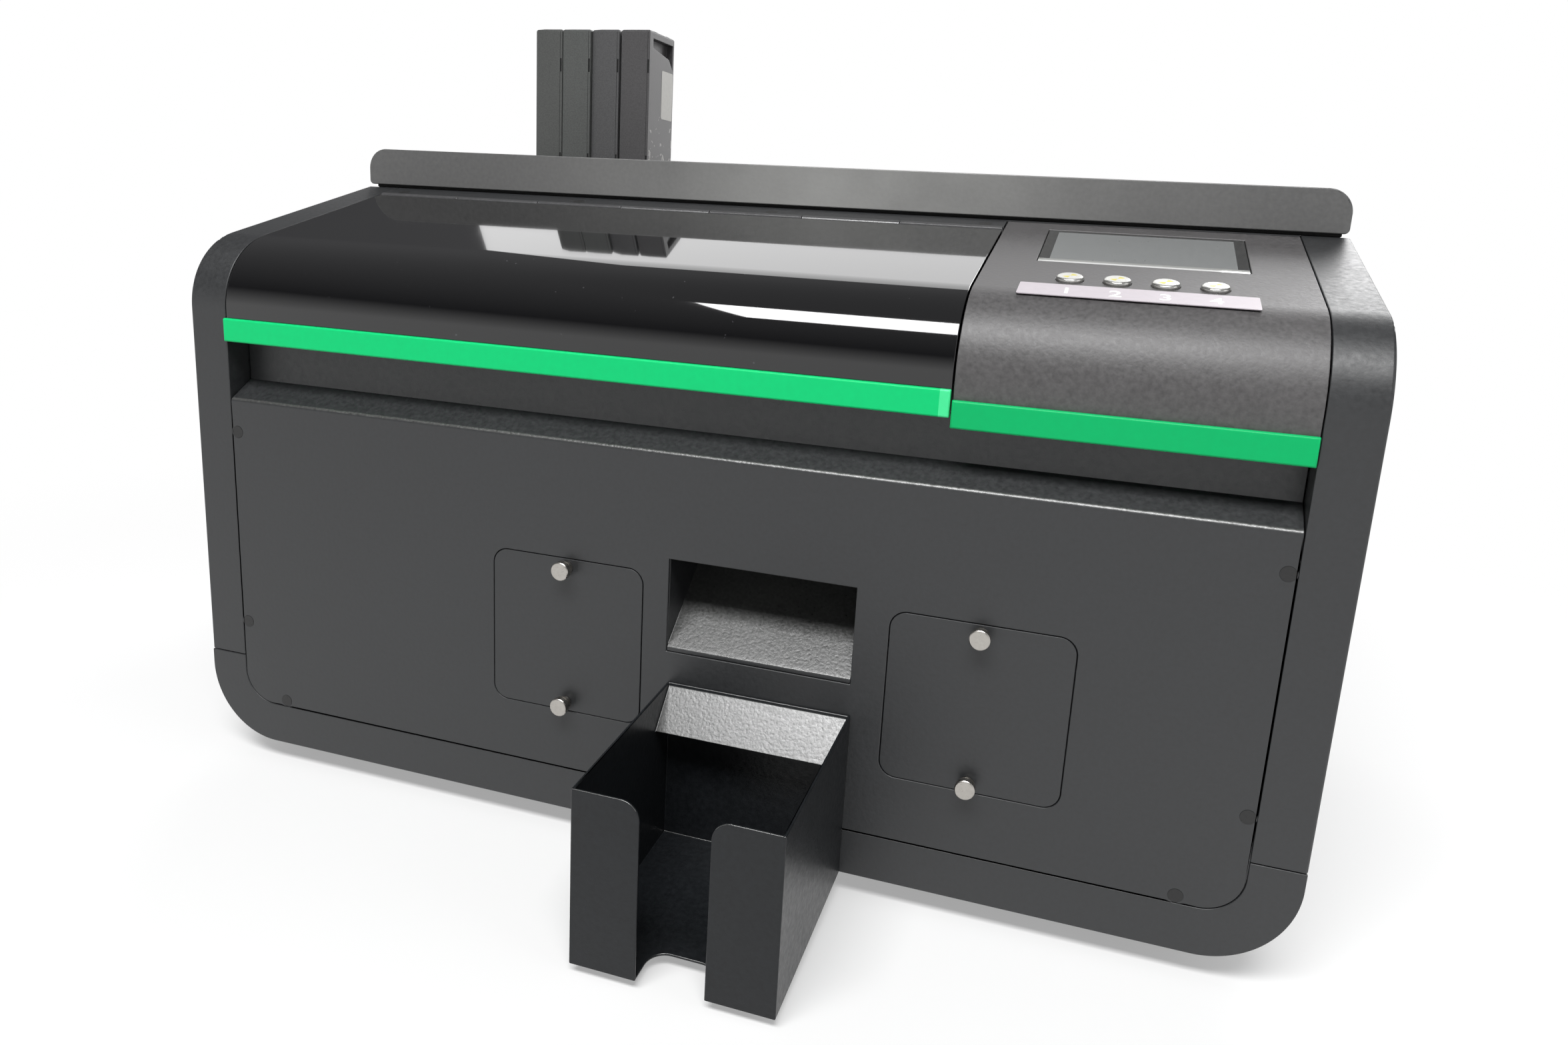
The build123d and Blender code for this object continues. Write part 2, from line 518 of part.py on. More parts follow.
def add_pull_strip(x0, x1, base, wall):
    """Green strip over the lower front edge of a cover, hooked under it."""
    block(x0, x1, FRONT - STRIP_PROUD, FRONT, base, base + STRIP_HEIGHT)
    block(x0, x1, FRONT, FRONT + wall, base, base + STRIP_SHEET)


with BuildPart() as lid_pull_strip:
    add_pull_strip(LID_LEFT, LID_RIGHT, up(LID_STRIP_BASE), LID_THICKNESS)
    front_edges = lid_pull_strip.edges().group_by(Axis.Y)[0]
    fillet(front_edges, radius=STRIP_EDGE)
save(lid_pull_strip, "lid_pull_strip")

STRIP_FRONT = HINGE_Y + HINGE_GAP
HINGE_SCREW_IN = 4.4
HINGE_SCREW_Y = STRIP_FRONT + HINGE_SCREW_IN
with BuildPart() as hinge_strip:
    with BuildSketch(side_plane(LID_LEFT)):
        with BuildLine():
            Polyline((STRIP_FRONT, slope_z(STRIP_FRONT)), (HOOD_Y, slope_z(HOOD_Y)),
                     (HOOD_Y, slope_z(HOOD_Y, SHEET)), (STRIP_FRONT, slope_z(STRIP_FRONT, SHEET)), close=True)
        make_face()
    extrude(amount=LID_RIGHT - LID_LEFT)
    add_knuckles(STRIP_KNUCKLES, HINGE_GAP + LEAF_LAP, SHEET, bore=False)
    rod(LID_LEFT, LID_RIGHT, HINGE_Y, HINGE_Z, HINGE_PIN_RADIUS)
    hinge_screw_along = (HINGE_SCREW_Y - FRONT) / cos(radians(SLOPE))
    with Locations(slope_plane(0, hinge_screw_along)):
        with Locations([(x, 0) for x in HINGE_SCREWS]):
            CounterSinkHole(SCREW_RADIUS + RUNNING, SCREW_HEAD + RUNNING, counter_sink_angle=SCREW_CONE)
save(hinge_strip, "hinge_strip")

# ---- Console: folded cover on the right, with a screen and four buttons ----
CONSOLE_LEFT = LID_RIGHT + 2 * SHUT_GAP
CONSOLE_RIGHT = HALF_PANEL - SIDE_GAP
CONSOLE_Y = back(CONSOLE_DEPTH)
SCREEN_ALONG = SCREEN_FRONT + SCREEN_HEIGHT / 2
SCREEN_SINK = 0.3
COLLAR = 1.2                             # retaining collar, under the console's skin
STEM_RADIUS = 2.5
STEM_END = 8.0
MODULE_MARGIN = 3.5
BUTTON_FIT = 0.15
console_outside = nose_outline(0, CONSOLE_Y, up(CONSOLE_STRIP_BASE) + STRIP_SHEET)
console_inside = nose_outline(SHEET, CONSOLE_Y, up(CONSOLE_STRIP_BASE) + STRIP_SHEET)
with BuildPart() as console_panel:
    with BuildSketch(side_plane(CONSOLE_LEFT)):
        add(console_outside)
        add(console_inside, mode=Mode.SUBTRACT)
    extrude(amount=CONSOLE_RIGHT - CONSOLE_LEFT)
    with BuildSketch(slope_plane(SCREEN_X, SCREEN_ALONG)):
        Rectangle(SCREEN_WIDTH, SCREEN_HEIGHT)
    extrude(amount=2 * SHEET, both=True, mode=Mode.SUBTRACT)
    with BuildSketch(slope_plane(0, BUTTON_UP)):
        with Locations([(x, 0) for x in BUTTON_X]):
            Circle(BUTTON_RADIUS + BUTTON_FIT)
    extrude(amount=2 * SHEET, both=True, mode=Mode.SUBTRACT)
save(console_panel, "console_panel")

with BuildPart() as console_strip:
    add_pull_strip(CONSOLE_LEFT, CONSOLE_RIGHT, up(CONSOLE_STRIP_BASE), SHEET)
    front_edges = console_strip.edges().group_by(Axis.Y)[0]
    fillet(front_edges, radius=STRIP_EDGE)
save(console_strip, "console_strip")

with BuildPart() as screen_glass:
    with BuildSketch(slope_plane(SCREEN_X, SCREEN_ALONG, SHEET)):
        Rectangle(SCREEN_WIDTH - 2 * REST_GAP, SCREEN_HEIGHT - 2 * REST_GAP)
    extrude(amount=SHEET - SCREEN_SINK)
save(screen_glass, "screen_glass")

SWITCH_TOP = STEM_END + BUTTON_TRAVEL + REST_GAP
SWITCH_HEIGHT = 4.0
SWITCH_SIZE = 7.0
BOARD_MARGIN = 18.0                      # button board, beyond the outer buttons
BOARD_WIDTH = 20.0
BOARD_SHEET = 1.6
PILLAR_RADIUS = 2.5
PILLAR_INSET = 4.0
MODULE_DEPTH = 7.0                       # screen module, and the board behind it
MODULE_BACK = 5.0
BOARD_INSET = SWITCH_TOP + SWITCH_HEIGHT
board_middle = (BUTTON_X[0] + BUTTON_X[-1]) / 2
board_length = BUTTON_X[-1] - BUTTON_X[0] + 2 * BOARD_MARGIN
with BuildPart() as console_boards:
    with BuildSketch(slope_plane(SCREEN_X, SCREEN_ALONG, SHEET)):
        Rectangle(SCREEN_WIDTH + 2 * MODULE_MARGIN, SCREEN_HEIGHT + 2 * MODULE_MARGIN)
    extrude(amount=-MODULE_DEPTH)
    with BuildSketch(slope_plane(SCREEN_X, SCREEN_ALONG, SHEET + MODULE_DEPTH)):
        Rectangle(SCREEN_WIDTH - 2 * MODULE_BACK, SCREEN_HEIGHT - 2 * MODULE_BACK)
    extrude(amount=-MODULE_BACK)
    with BuildSketch(slope_plane(board_middle, BUTTON_UP, BOARD_INSET)):
        Rectangle(board_length, BOARD_WIDTH)
    extrude(amount=-BOARD_SHEET)
    with BuildSketch(slope_plane(0, BUTTON_UP, BOARD_INSET)):
        with Locations([(x, 0) for x in BUTTON_X]):
            Rectangle(SWITCH_SIZE, SWITCH_SIZE)
    extrude(amount=SWITCH_HEIGHT)
    with BuildSketch(slope_plane(board_middle, BUTTON_UP, BOARD_INSET)):
        with GridLocations(board_length - 2 * PILLAR_INSET, BOARD_WIDTH - 2 * PILLAR_INSET, 2, 2):
            Circle(PILLAR_RADIUS)
    extrude(amount=BOARD_INSET - SHEET)
save(console_boards, "console_boards")

CROWN = 1.2
for number, button_x in enumerate(BUTTON_X, start=1):
    with BuildPart() as button:
        with BuildSketch(slope_plane(button_x, BUTTON_UP, SHEET + REST_GAP)):
            Circle(BUTTON_RADIUS)
        extrude(amount=SHEET + REST_GAP + BUTTON_STAND)
        crown = button.faces().sort_by(Axis.Z)[-1].edges()
        fillet(crown, radius=CROWN)
        with BuildSketch(slope_plane(button_x, BUTTON_UP, SHEET + REST_GAP)):
            Circle(BUTTON_RADIUS + COLLAR)
        extrude(amount=-COLLAR)
        with BuildSketch(slope_plane(button_x, BUTTON_UP, SHEET + REST_GAP)):
            Circle(STEM_RADIUS)
        extrude(amount=SHEET + REST_GAP - STEM_END)
    save(button, "button_" + str(number))

# ---- Side frames: upright plates inside the cheeks that carry the top and the rails ----
WEB_X = HALF_BODY - OUTER_CORNER - SHEET             # inner face of a side frame's web
FLANGE_REACH = 6.0                       # flanges, beyond the panel's side edges
FLANGE_RISE = 18.0                       # over the tray's floor
FLANGE_X = HALF_PANEL + FLANGE_REACH
FLANGE_BASE = TRAY_FLOOR + FLANGE_RISE
FLANGE_TOP = up(PANEL_HEIGHT - WALL_LAP)
FRAME_FRONT = FRONT + SHEET
FRAME_STEP = 40.0                        # length of the frame's low front part
FRAME_SHOULDER = 23.75                   # below the top
FOOT_FLANGE = 20.0
REAR_SCREWS_UP = (40.0, 150.0, 255.0)
REAR_SCREWS = [(side * (HALF_PANEL - SCREW_EDGE), up(z)) for side in (-1, 1) for z in REAR_SCREWS_UP]
SHAFT_Y = back(88.0)
SHAFT_Z = up(172.0)
SHAFT_RADIUS = 5.0
with BuildPart() as right_frame:
    with BuildSketch(side_plane(WEB_X)):
        with BuildLine():
            Polyline((FRAME_FRONT, FLANGE_BASE), (FRAME_FRONT, FLANGE_TOP),
                     (back(FRAME_STEP), FLANGE_TOP), (HOOD_Y, CHEEK_TOP - FRAME_SHOULDER),
                     (HOOD_Y, CHEEK_CEILING), (FRAME_REAR, CHEEK_CEILING),
                     (FRAME_REAR, TRAY_FLOOR), (FRAME_FRONT + 3 * SHEET, TRAY_FLOOR),
                     (FRAME_FRONT + 3 * SHEET, FLANGE_BASE), close=True)
        make_face()
    extrude(amount=SHEET)
    block(WEB_X, FLANGE_X, FRAME_FRONT, FRAME_FRONT + SHEET, FLANGE_BASE, FLANGE_TOP)
    block(WEB_X, FLANGE_X, FRAME_REAR - SHEET, FRAME_REAR, FLANGE_BASE, CHEEK_CEILING)
    block(WEB_X - FOOT_FLANGE, WEB_X, FRAME_FRONT + 3 * SHEET, FRAME_REAR, TRAY_FLOOR, TRAY_FLOOR + SHEET)
    rod(WEB_X, WEB_X + SHEET, SHAFT_Y, SHAFT_Z, SHAFT_RADIUS, mode=Mode.SUBTRACT)
    with Locations(front_plane(FRAME_FRONT)):
        with Locations([place for place in PANEL_SCREWS if place[0] > WEB_X]):
            Hole(radius=SCREW_RADIUS + RUNNING, depth=SHEET)
    with Locations(front_plane(FRAME_REAR - SHEET)):
        with Locations([place for place in REAR_SCREWS if place[0] > 0]):
            Hole(radius=SCREW_RADIUS + RUNNING, depth=SHEET)
save(right_frame, "right_frame")

with BuildPart() as left_frame:
    add(right_frame.part)
    mirror(about=Plane.YZ, mode=Mode.REPLACE)
save(left_frame, "left_frame")

# ---- Card magazine: upright sheet tube, loaded through the hood ----
MAGAZINE_LENGTH = CARD_LENGTH + 2 * HOPPER_CLEARANCE
MAGAZINE_DEPTH = CARD_WIDTH + 2 * HOPPER_CLEARANCE
MAGAZINE_FRONT = back(HOPPER_FRONT)
MAGAZINE_REAR = MAGAZINE_FRONT + MAGAZINE_DEPTH + 2 * HOPPER_WALL
MAGAZINE_Y = (MAGAZINE_FRONT + MAGAZINE_REAR) / 2
MAGAZINE_HALF = MAGAZINE_LENGTH / 2 + HOPPER_WALL
TRACK_DROP = 0.4                         # track's floor, below the card path
TRACK_TOP = up(CARD_PATH_Z) - TRACK_DROP
GATE = 1.6                               # lets one card out under the front wall
with BuildPart() as card_magazine:
    with BuildSketch(Plane.XY.offset(TRACK_TOP)):
        with Locations((CARD_PATH_X, MAGAZINE_Y)):
            Rectangle(2 * MAGAZINE_HALF, MAGAZINE_REAR - MAGAZINE_FRONT)
            Rectangle(MAGAZINE_LENGTH, MAGAZINE_DEPTH, mode=Mode.SUBTRACT)
    extrude(amount=HOOD_TOP - TRACK_TOP)
    block(CARD_PATH_X - MAGAZINE_LENGTH / 2, CARD_PATH_X + MAGAZINE_LENGTH / 2, MAGAZINE_FRONT - PAST,
          MAGAZINE_FRONT + HOPPER_WALL + PAST, TRACK_TOP, TRACK_TOP + GATE, mode=Mode.SUBTRACT)
save(card_magazine, "card_magazine")

# ---- Top plate and rear hood ----
TOP_HALF = HALF_PANEL - SHUT_GAP
FLANGE_FRONT = STRIP_FRONT + SHUT_GAP
FLANGE_ROOT = 5.0
MOUTH_GAP = 0.4
MODULE_ROOM = 3.0
NOTCH_HALF = 2.0                         # notches over the side frames
NOTCH_DEPTH = 46.5
MODULE_REAR = back((SCREEN_FRONT + SCREEN_HEIGHT + MODULE_MARGIN) * cos(radians(SLOPE)) + MODULE_ROOM)
DOCK_LEFT = CARTRIDGE_LEFT - SHUT_GAP - DOCK_WALL
DOCK_RIGHT = CARTRIDGE_LEFT + CARTRIDGE_PLACES[-1] + CARTRIDGE_WIDTH + SHUT_GAP + DOCK_WALL
DOCK_FRONT = back(CARTRIDGE_FRONT) - SHUT_GAP - DOCK_WALL
DOCK_REAR = back(CARTRIDGE_FRONT + CARTRIDGE_DEPTH) + SHUT_GAP + DOCK_WALL
with BuildPart() as top_plate:
    with BuildSketch(side_plane(-TOP_HALF)):
        with BuildLine():
            Polyline((HOOD_Y, CHEEK_TOP), (FRAME_REAR, CHEEK_TOP), (FRAME_REAR, CHEEK_CEILING),
                     (HOOD_Y + FLANGE_ROOT, CHEEK_CEILING),
                     (HOOD_Y + FLANGE_ROOT, slope_z(HOOD_Y, 2 * SHEET)),
                     (HOOD_Y, slope_z(HOOD_Y, 2 * SHEET)),
                     (FLANGE_FRONT, slope_z(FLANGE_FRONT, 2 * SHEET)),
                     (FLANGE_FRONT, slope_z(FLANGE_FRONT, SHEET)),
                     (HOOD_Y, slope_z(HOOD_Y, SHEET)), close=True)
        make_face()
    extrude(amount=2 * TOP_HALF)
    block(CARD_PATH_X - MAGAZINE_HALF - MOUTH_GAP, CARD_PATH_X + MAGAZINE_HALF + MOUTH_GAP,
          MAGAZINE_FRONT - MOUTH_GAP, MAGAZINE_REAR + MOUTH_GAP, CHEEK_CEILING - PAST, CHEEK_TOP + PAST,
          mode=Mode.SUBTRACT)
    with Locations(slope_plane(0, hinge_screw_along)):
        with Locations([(x, 0) for x in HINGE_SCREWS]):
            Hole(radius=SCREW_RADIUS + RUNNING, depth=4 * SHEET)
    block(CONSOLE_LEFT, TOP_HALF + PAST, FLANGE_FRONT - PAST, MODULE_REAR, slope_z(FLANGE_FRONT, 5 * SHEET),
          CHEEK_TOP, mode=Mode.SUBTRACT)
    for side in (-1, 1):
        notch_x = side * (WEB_X + SHEET / 2)
        block(notch_x - NOTCH_HALF, notch_x + NOTCH_HALF, FLANGE_FRONT - PAST, HOOD_Y + FLANGE_ROOT + PAST,
              CHEEK_CEILING - NOTCH_DEPTH, CHEEK_CEILING, mode=Mode.SUBTRACT)
save(top_plate, "top_plate")

POST_SIZE = 10.0                         # spacers between the top plate and the hood
POST_X = 120.0
FLAP_AXIS_Y = MAGAZINE_REAR + FLAP_BACK
FLAP_AXIS_Z = HOOD_TOP + FLAP_RISE
FLAP_HALF = MAGAZINE_HALF + FLAP_OVER
LUG_HALF = 3.0
LUG_TOP = FLAP_AXIS_Z + 2 * FLAP_PIN
with BuildPart() as rear_hood:
    with BuildSketch(front_plane(HOOD_Y)) as hood_outline:
        with Locations((0, (HOOD_BASE + HOOD_TOP) / 2)):
            Rectangle(HOOD_WIDTH, HOOD_HEIGHT)
        fillet(hood_outline.vertices().group_by(Axis.Y)[-1], radius=HOOD_CORNER)
        fillet(hood_outline.vertices().group_by(Axis.Y)[0], radius=HOOD_LOW_CORNER)
    extrude(amount=-(REAR - HOOD_Y))
    with BuildSketch(front_plane(HOOD_Y + HOOD_SHEET)) as hood_inside:
        with Locations((0, (HOOD_BASE + HOOD_TOP) / 2 - HOOD_SHEET)):
            Rectangle(HOOD_WIDTH - 2 * HOOD_SHEET, HOOD_HEIGHT)
        fillet(hood_inside.vertices().group_by(Axis.Y)[-1], radius=HOOD_CORNER - HOOD_SHEET)
    extrude(amount=-(REAR - HOOD_Y - 2 * HOOD_SHEET), mode=Mode.SUBTRACT)
    block(CARD_PATH_X - MAGAZINE_HALF - MOUTH_GAP, CARD_PATH_X + MAGAZINE_HALF + MOUTH_GAP,
          MAGAZINE_FRONT - MOUTH_GAP, MAGAZINE_REAR + MOUTH_GAP, HOOD_BASE, HOOD_TOP + PAST,
          mode=Mode.SUBTRACT)
    block(DOCK_LEFT - MOUTH_GAP, DOCK_RIGHT + MOUTH_GAP, DOCK_FRONT - MOUTH_GAP, DOCK_REAR + MOUTH_GAP,
          HOOD_BASE, HOOD_TOP + PAST, mode=Mode.SUBTRACT)
    for post_x in (-HALF_PANEL + HOOD_CORNER, -POST_X, POST_X, HALF_PANEL - HOOD_CORNER):
        for post_y in (HOOD_Y + POST_SIZE, REAR - HOOD_CORNER - HOOD_SHEET):
            block(post_x - POST_SIZE / 2, post_x + POST_SIZE / 2, post_y - POST_SIZE / 2,
                  post_y + POST_SIZE / 2, CHEEK_TOP, HOOD_TOP - HOOD_SHEET / 2)
    for side in (-1, 1):
        lug_x = CARD_PATH_X + side * (FLAP_HALF + REST_GAP + LUG / 2)
        block(lug_x - LUG / 2, lug_x + LUG / 2, FLAP_AXIS_Y - LUG_HALF, FLAP_AXIS_Y + LUG_HALF,
              HOOD_TOP - HOOD_SHEET / 2, LUG_TOP)
    rod(CARD_PATH_X - FLAP_HALF - 2 * LUG, CARD_PATH_X + FLAP_HALF + 2 * LUG, FLAP_AXIS_Y, FLAP_AXIS_Z,
        FLAP_PIN + RUNNING, mode=Mode.SUBTRACT)
save(rear_hood, "rear_hood")

with BuildPart() as hopper_flap:
    flap_base = HOOD_TOP + REST_GAP
    block(CARD_PATH_X - FLAP_HALF, CARD_PATH_X + FLAP_HALF, MAGAZINE_FRONT - FLAP_NOSE, FLAP_AXIS_Y,
          flap_base, flap_base + FLAP_THICKNESS)
    rod(CARD_PATH_X - FLAP_HALF, CARD_PATH_X + FLAP_HALF, FLAP_AXIS_Y, FLAP_AXIS_Z, FLAP_BARREL)
    rod(CARD_PATH_X - FLAP_HALF - LUG, CARD_PATH_X + FLAP_HALF + LUG, FLAP_AXIS_Y, FLAP_AXIS_Z, FLAP_PIN)
save(hopper_flap, "hopper_flap")

# ---- Ink dock and its four cartridges ----
DOCK_BASE = CHEEK_TOP
DOCK_FLOOR = DOCK_BASE + DOCK_WALL
CARTRIDGE_BASE = CARTRIDGE_TOP - CARTRIDGE_HEIGHT
SPIGOT_RADIUS = 3.0
with BuildPart() as ink_dock:
    block(DOCK_LEFT, DOCK_RIGHT, DOCK_FRONT, DOCK_REAR, DOCK_BASE, HOOD_TOP - HOOD_SHEET / 2)
    block(DOCK_LEFT + DOCK_WALL, DOCK_RIGHT - DOCK_WALL, DOCK_FRONT + DOCK_WALL, DOCK_REAR - DOCK_WALL,
          DOCK_FLOOR, HOOD_TOP, mode=Mode.SUBTRACT)
    with BuildSketch(Plane.XY.offset(DOCK_FLOOR)):
        with Locations([(CARTRIDGE_LEFT + place + CARTRIDGE_WIDTH / 2, (DOCK_FRONT + DOCK_REAR) / 2)
                        for place in CARTRIDGE_PLACES]):
            Circle(SPIGOT_RADIUS)
    extrude(amount=CARTRIDGE_BASE - REST_GAP - DOCK_FLOOR)
save(ink_dock, "ink_dock")

BEVEL_WIDTH = 7.4
BEVELS = (2.4, 0.5, 2.4, 0.5)            # depth of each cartridge's bevelled front edge
CARTRIDGE_EDGE = 0.9
GRIP_DEPTH = 5.0                         # finger recess in the right side, near the top
GRIP_INSET = 6.0
GRIP_REAR = 2.5
GRIP_HIGH = 5.0
GRIP_SHALLOW = 11.0
GRIP_STEEP = 15.0
GRIP_LOW = 21.0
GRIP_HEEL = 9.0
for number, (place, bevel) in enumerate(zip(CARTRIDGE_PLACES, BEVELS), start=1):
    left = CARTRIDGE_LEFT + place
    right = left + CARTRIDGE_WIDTH
    near = back(CARTRIDGE_FRONT)
    far = near + CARTRIDGE_DEPTH
    with BuildPart() as cartridge:
        with BuildSketch(Plane.XY.offset(CARTRIDGE_BASE)):
            with BuildLine():
                Polyline((left, near + bevel), (left + BEVEL_WIDTH, near), (right, near), (right, far),
                         (left, far), close=True)
            make_face()
        extrude(amount=CARTRIDGE_HEIGHT)
        top_edges = cartridge.edges().group_by(Axis.Z)[-1]
        chamfer(top_edges, length=CARTRIDGE_EDGE)
        with BuildSketch(side_plane(right - GRIP_DEPTH)):
            with BuildLine():
                Polyline((near + GRIP_INSET, CARTRIDGE_TOP - GRIP_HIGH),
                         (far - GRIP_REAR, CARTRIDGE_TOP - GRIP_HIGH),
                         (far - GRIP_REAR, CARTRIDGE_TOP - GRIP_LOW),
                         (far - GRIP_HEEL, CARTRIDGE_TOP - GRIP_STEEP),
                         (near + GRIP_INSET, CARTRIDGE_TOP - GRIP_SHALLOW), close=True)
            make_face()
        extrude(amount=GRIP_DEPTH, mode=Mode.SUBTRACT)
    save(cartridge, "ink_cartridge_" + str(number))

# ---- Rear panel with its vents, and the power inlet with its rocker switch ----
INLET_IN = 36.5                          # from the right frame
USB_IN = 81.5                            # from the left frame
INLET_X = WEB_X - INLET_IN
INLET_Z = up(62.0)
INLET_WIDTH = 36.0
INLET_HEIGHT = 58.0
INLET_DEPTH = 24.0
PLUG_WIDTH = 24.0
PLUG_HEIGHT = 17.0
PLUG_DEPTH = 17.0
PLUG_CHAMFER = 5.0
PLUG_Z = INLET_Z - 13.0
PIN_SPREAD = 7.0
PIN_LENGTH = 14.0
PIN_WIDTH = 2.0
INLET_LIP = 4.0                          # flange behind the rear panel
ROCKER_Z = INLET_Z + 14.0
ROCKER_LENGTH = 18.0
ROCKER_WIDTH = 13.0
ROCKER_TILT = 8.0
ROCKER_DEPTH = 12.0                      # of the switch's well
ROCKER_BODY = 4.0
ROCKER_HORN = 1.2
ROCKER_VALLEY = 0.4
ROCKER_PIN = 1.2
ROCKER_PIN_REACH = 2.0
ROCKER_Y = REAR - 3.4
ROCKER_FIT = 0.6
USB_X = USB_IN - WEB_X
BOARD_BASE = TRAY_FLOOR + 6.0
USB_WIDTH = 13.0
USB_HEIGHT = 12.0
USB_Z = BOARD_BASE + BOARD_SHEET + USB_HEIGHT / 2
VENT_X = (-60.0, 60.0)
VENT_COUNT = 9
VENT_PITCH = 11.0
VENT_ROWS = 40.0
VENT_LENGTH = 32.0
VENT_WIDTH = 5.0
VENT_Z = up(120.0)
REAR_GAP = 0.2
with BuildPart() as rear_panel:
    with BuildSketch(front_plane(FRAME_REAR)) as rear_outline:
        with Locations((0, (FOOT_HEIGHT + CHEEK_TOP) / 2)):
            Rectangle(BODY_WIDTH, CHEEK_TOP - FOOT_HEIGHT)
        fillet(rear_outline.vertices().group_by(Axis.Y)[0], radius=OUTER_CORNER)
        for vent_x in VENT_X:
            with Locations((vent_x, VENT_Z)):
                with GridLocations(VENT_PITCH, VENT_ROWS, VENT_COUNT, 2):
                    SlotOverall(VENT_LENGTH, VENT_WIDTH, rotation=90, mode=Mode.SUBTRACT)
        with Locations((INLET_X, INLET_Z)):
            Rectangle(INLET_WIDTH + 2 * REAR_GAP, INLET_HEIGHT + 2 * REAR_GAP, mode=Mode.SUBTRACT)
        with Locations((USB_X, USB_Z)):
            Rectangle(USB_WIDTH + 2 * REAR_GAP, USB_HEIGHT + 2 * REAR_GAP, mode=Mode.SUBTRACT)
    extrude(amount=-SHEET)
    rear_face = Plane(origin=(0, REAR, 0), x_dir=(-1, 0, 0), z_dir=(0, 1, 0))
    with Locations(rear_face):
        with Locations([(-x, z) for x, z in REAR_SCREWS]):
            CounterSinkHole(SCREW_RADIUS + RUNNING, SCREW_HEAD + RUNNING, counter_sink_angle=SCREW_CONE)
save(rear_panel, "rear_panel")

rocker_reach = ROCKER_WIDTH / 2 + ROCKER_PIN_REACH
with BuildPart() as power_inlet:
    block(INLET_X - INLET_WIDTH / 2 - INLET_LIP, INLET_X + INLET_WIDTH / 2 + INLET_LIP, FRAME_REAR - SHEET,
          FRAME_REAR, INLET_Z - INLET_HEIGHT / 2 - INLET_LIP, INLET_Z + INLET_HEIGHT / 2 + INLET_LIP)
    block(INLET_X - INLET_WIDTH / 2, INLET_X + INLET_WIDTH / 2, FRAME_REAR - INLET_DEPTH, REAR - REAR_GAP,
          INLET_Z - INLET_HEIGHT / 2, INLET_Z + INLET_HEIGHT / 2)
    with BuildSketch(front_plane(REAR)) as plug_recess:
        with Locations((INLET_X, PLUG_Z)):
            Rectangle(PLUG_WIDTH, PLUG_HEIGHT)
        chamfer(plug_recess.vertices().group_by(Axis.Y)[0], length=PLUG_CHAMFER)
    extrude(amount=PLUG_DEPTH, mode=Mode.SUBTRACT)
    with BuildSketch(front_plane(REAR)):
        with Locations((INLET_X, ROCKER_Z)):
            Rectangle(ROCKER_WIDTH + 2 * ROCKER_FIT, ROCKER_LENGTH + 4 * ROCKER_FIT)
    extrude(amount=ROCKER_DEPTH, mode=Mode.SUBTRACT)
    with BuildSketch(front_plane(REAR - PLUG_DEPTH)):
        with Locations((INLET_X - PIN_SPREAD, PLUG_Z - PIN_WIDTH), (INLET_X, PLUG_Z + 1.5 * PIN_WIDTH),
                       (INLET_X + PIN_SPREAD, PLUG_Z - PIN_WIDTH)):
            Rectangle(PIN_WIDTH, 2 * PIN_WIDTH)
    extrude(amount=-PIN_LENGTH)
    rod(INLET_X - rocker_reach, INLET_X + rocker_reach, ROCKER_Y, ROCKER_Z, ROCKER_PIN + RUNNING,
        mode=Mode.SUBTRACT)
save(power_inlet, "power_inlet")

rocker_plane = Plane(origin=(INLET_X - ROCKER_WIDTH / 2, ROCKER_Y, ROCKER_Z), z_dir=(1, 0, 0),
                     x_dir=(0, cos(radians(ROCKER_TILT)), -sin(radians(ROCKER_TILT))))
with BuildPart() as power_switch:
    with BuildSketch(rocker_plane):
        with BuildLine():
            Polyline((-ROCKER_BODY, -ROCKER_LENGTH / 2), (ROCKER_HORN, -ROCKER_LENGTH / 2),
                     (-ROCKER_VALLEY, 0), (ROCKER_HORN, ROCKER_LENGTH / 2),
                     (-ROCKER_BODY, ROCKER_LENGTH / 2), close=True)
        make_face()
    extrude(amount=ROCKER_WIDTH)
    rod(INLET_X - rocker_reach, INLET_X + rocker_reach, ROCKER_Y, ROCKER_Z, ROCKER_PIN)
save(power_switch, "power_switch")

# ---- Countersunk screws of the casing, all alike ----
with BuildPart() as casing_screws:
    for screw_x, screw_z in PANEL_SCREWS:
        with BuildSketch(front_plane(FRONT)):
            with Locations((screw_x, screw_z)):
                Circle(SCREW_HEAD)
        extrude(amount=-(SCREW_HEAD - SCREW_RADIUS), taper=SCREW_CONE / 2)
        with BuildSketch(front_plane(FRONT)):
            with Locations((screw_x, screw_z)):
                Circle(SCREW_RADIUS)
        extrude(amount=-SCREW_LENGTH)
    for screw_x, screw_z in REAR_SCREWS:
        with BuildSketch(rear_face):
            with Locations((-screw_x, screw_z)):
                Circle(SCREW_HEAD)
        extrude(amount=-(SCREW_HEAD - SCREW_RADIUS), taper=SCREW_CONE / 2)
        with BuildSketch(rear_face):
            with Locations((-screw_x, screw_z)):
                Circle(SCREW_RADIUS)
        extrude(amount=-SCREW_LENGTH)
    for screw_x in HINGE_SCREWS:
        with BuildSketch(slope_plane(screw_x, hinge_screw_along)):
            Circle(SCREW_HEAD)
        extrude(amount=-(SCREW_HEAD - SCREW_RADIUS), taper=SCREW_CONE / 2)
        with BuildSketch(slope_plane(screw_x, hinge_screw_along)):
            Circle(SCREW_RADIUS)
        extrude(amount=-SCREW_LENGTH)
save(casing_screws, "casing_screws")

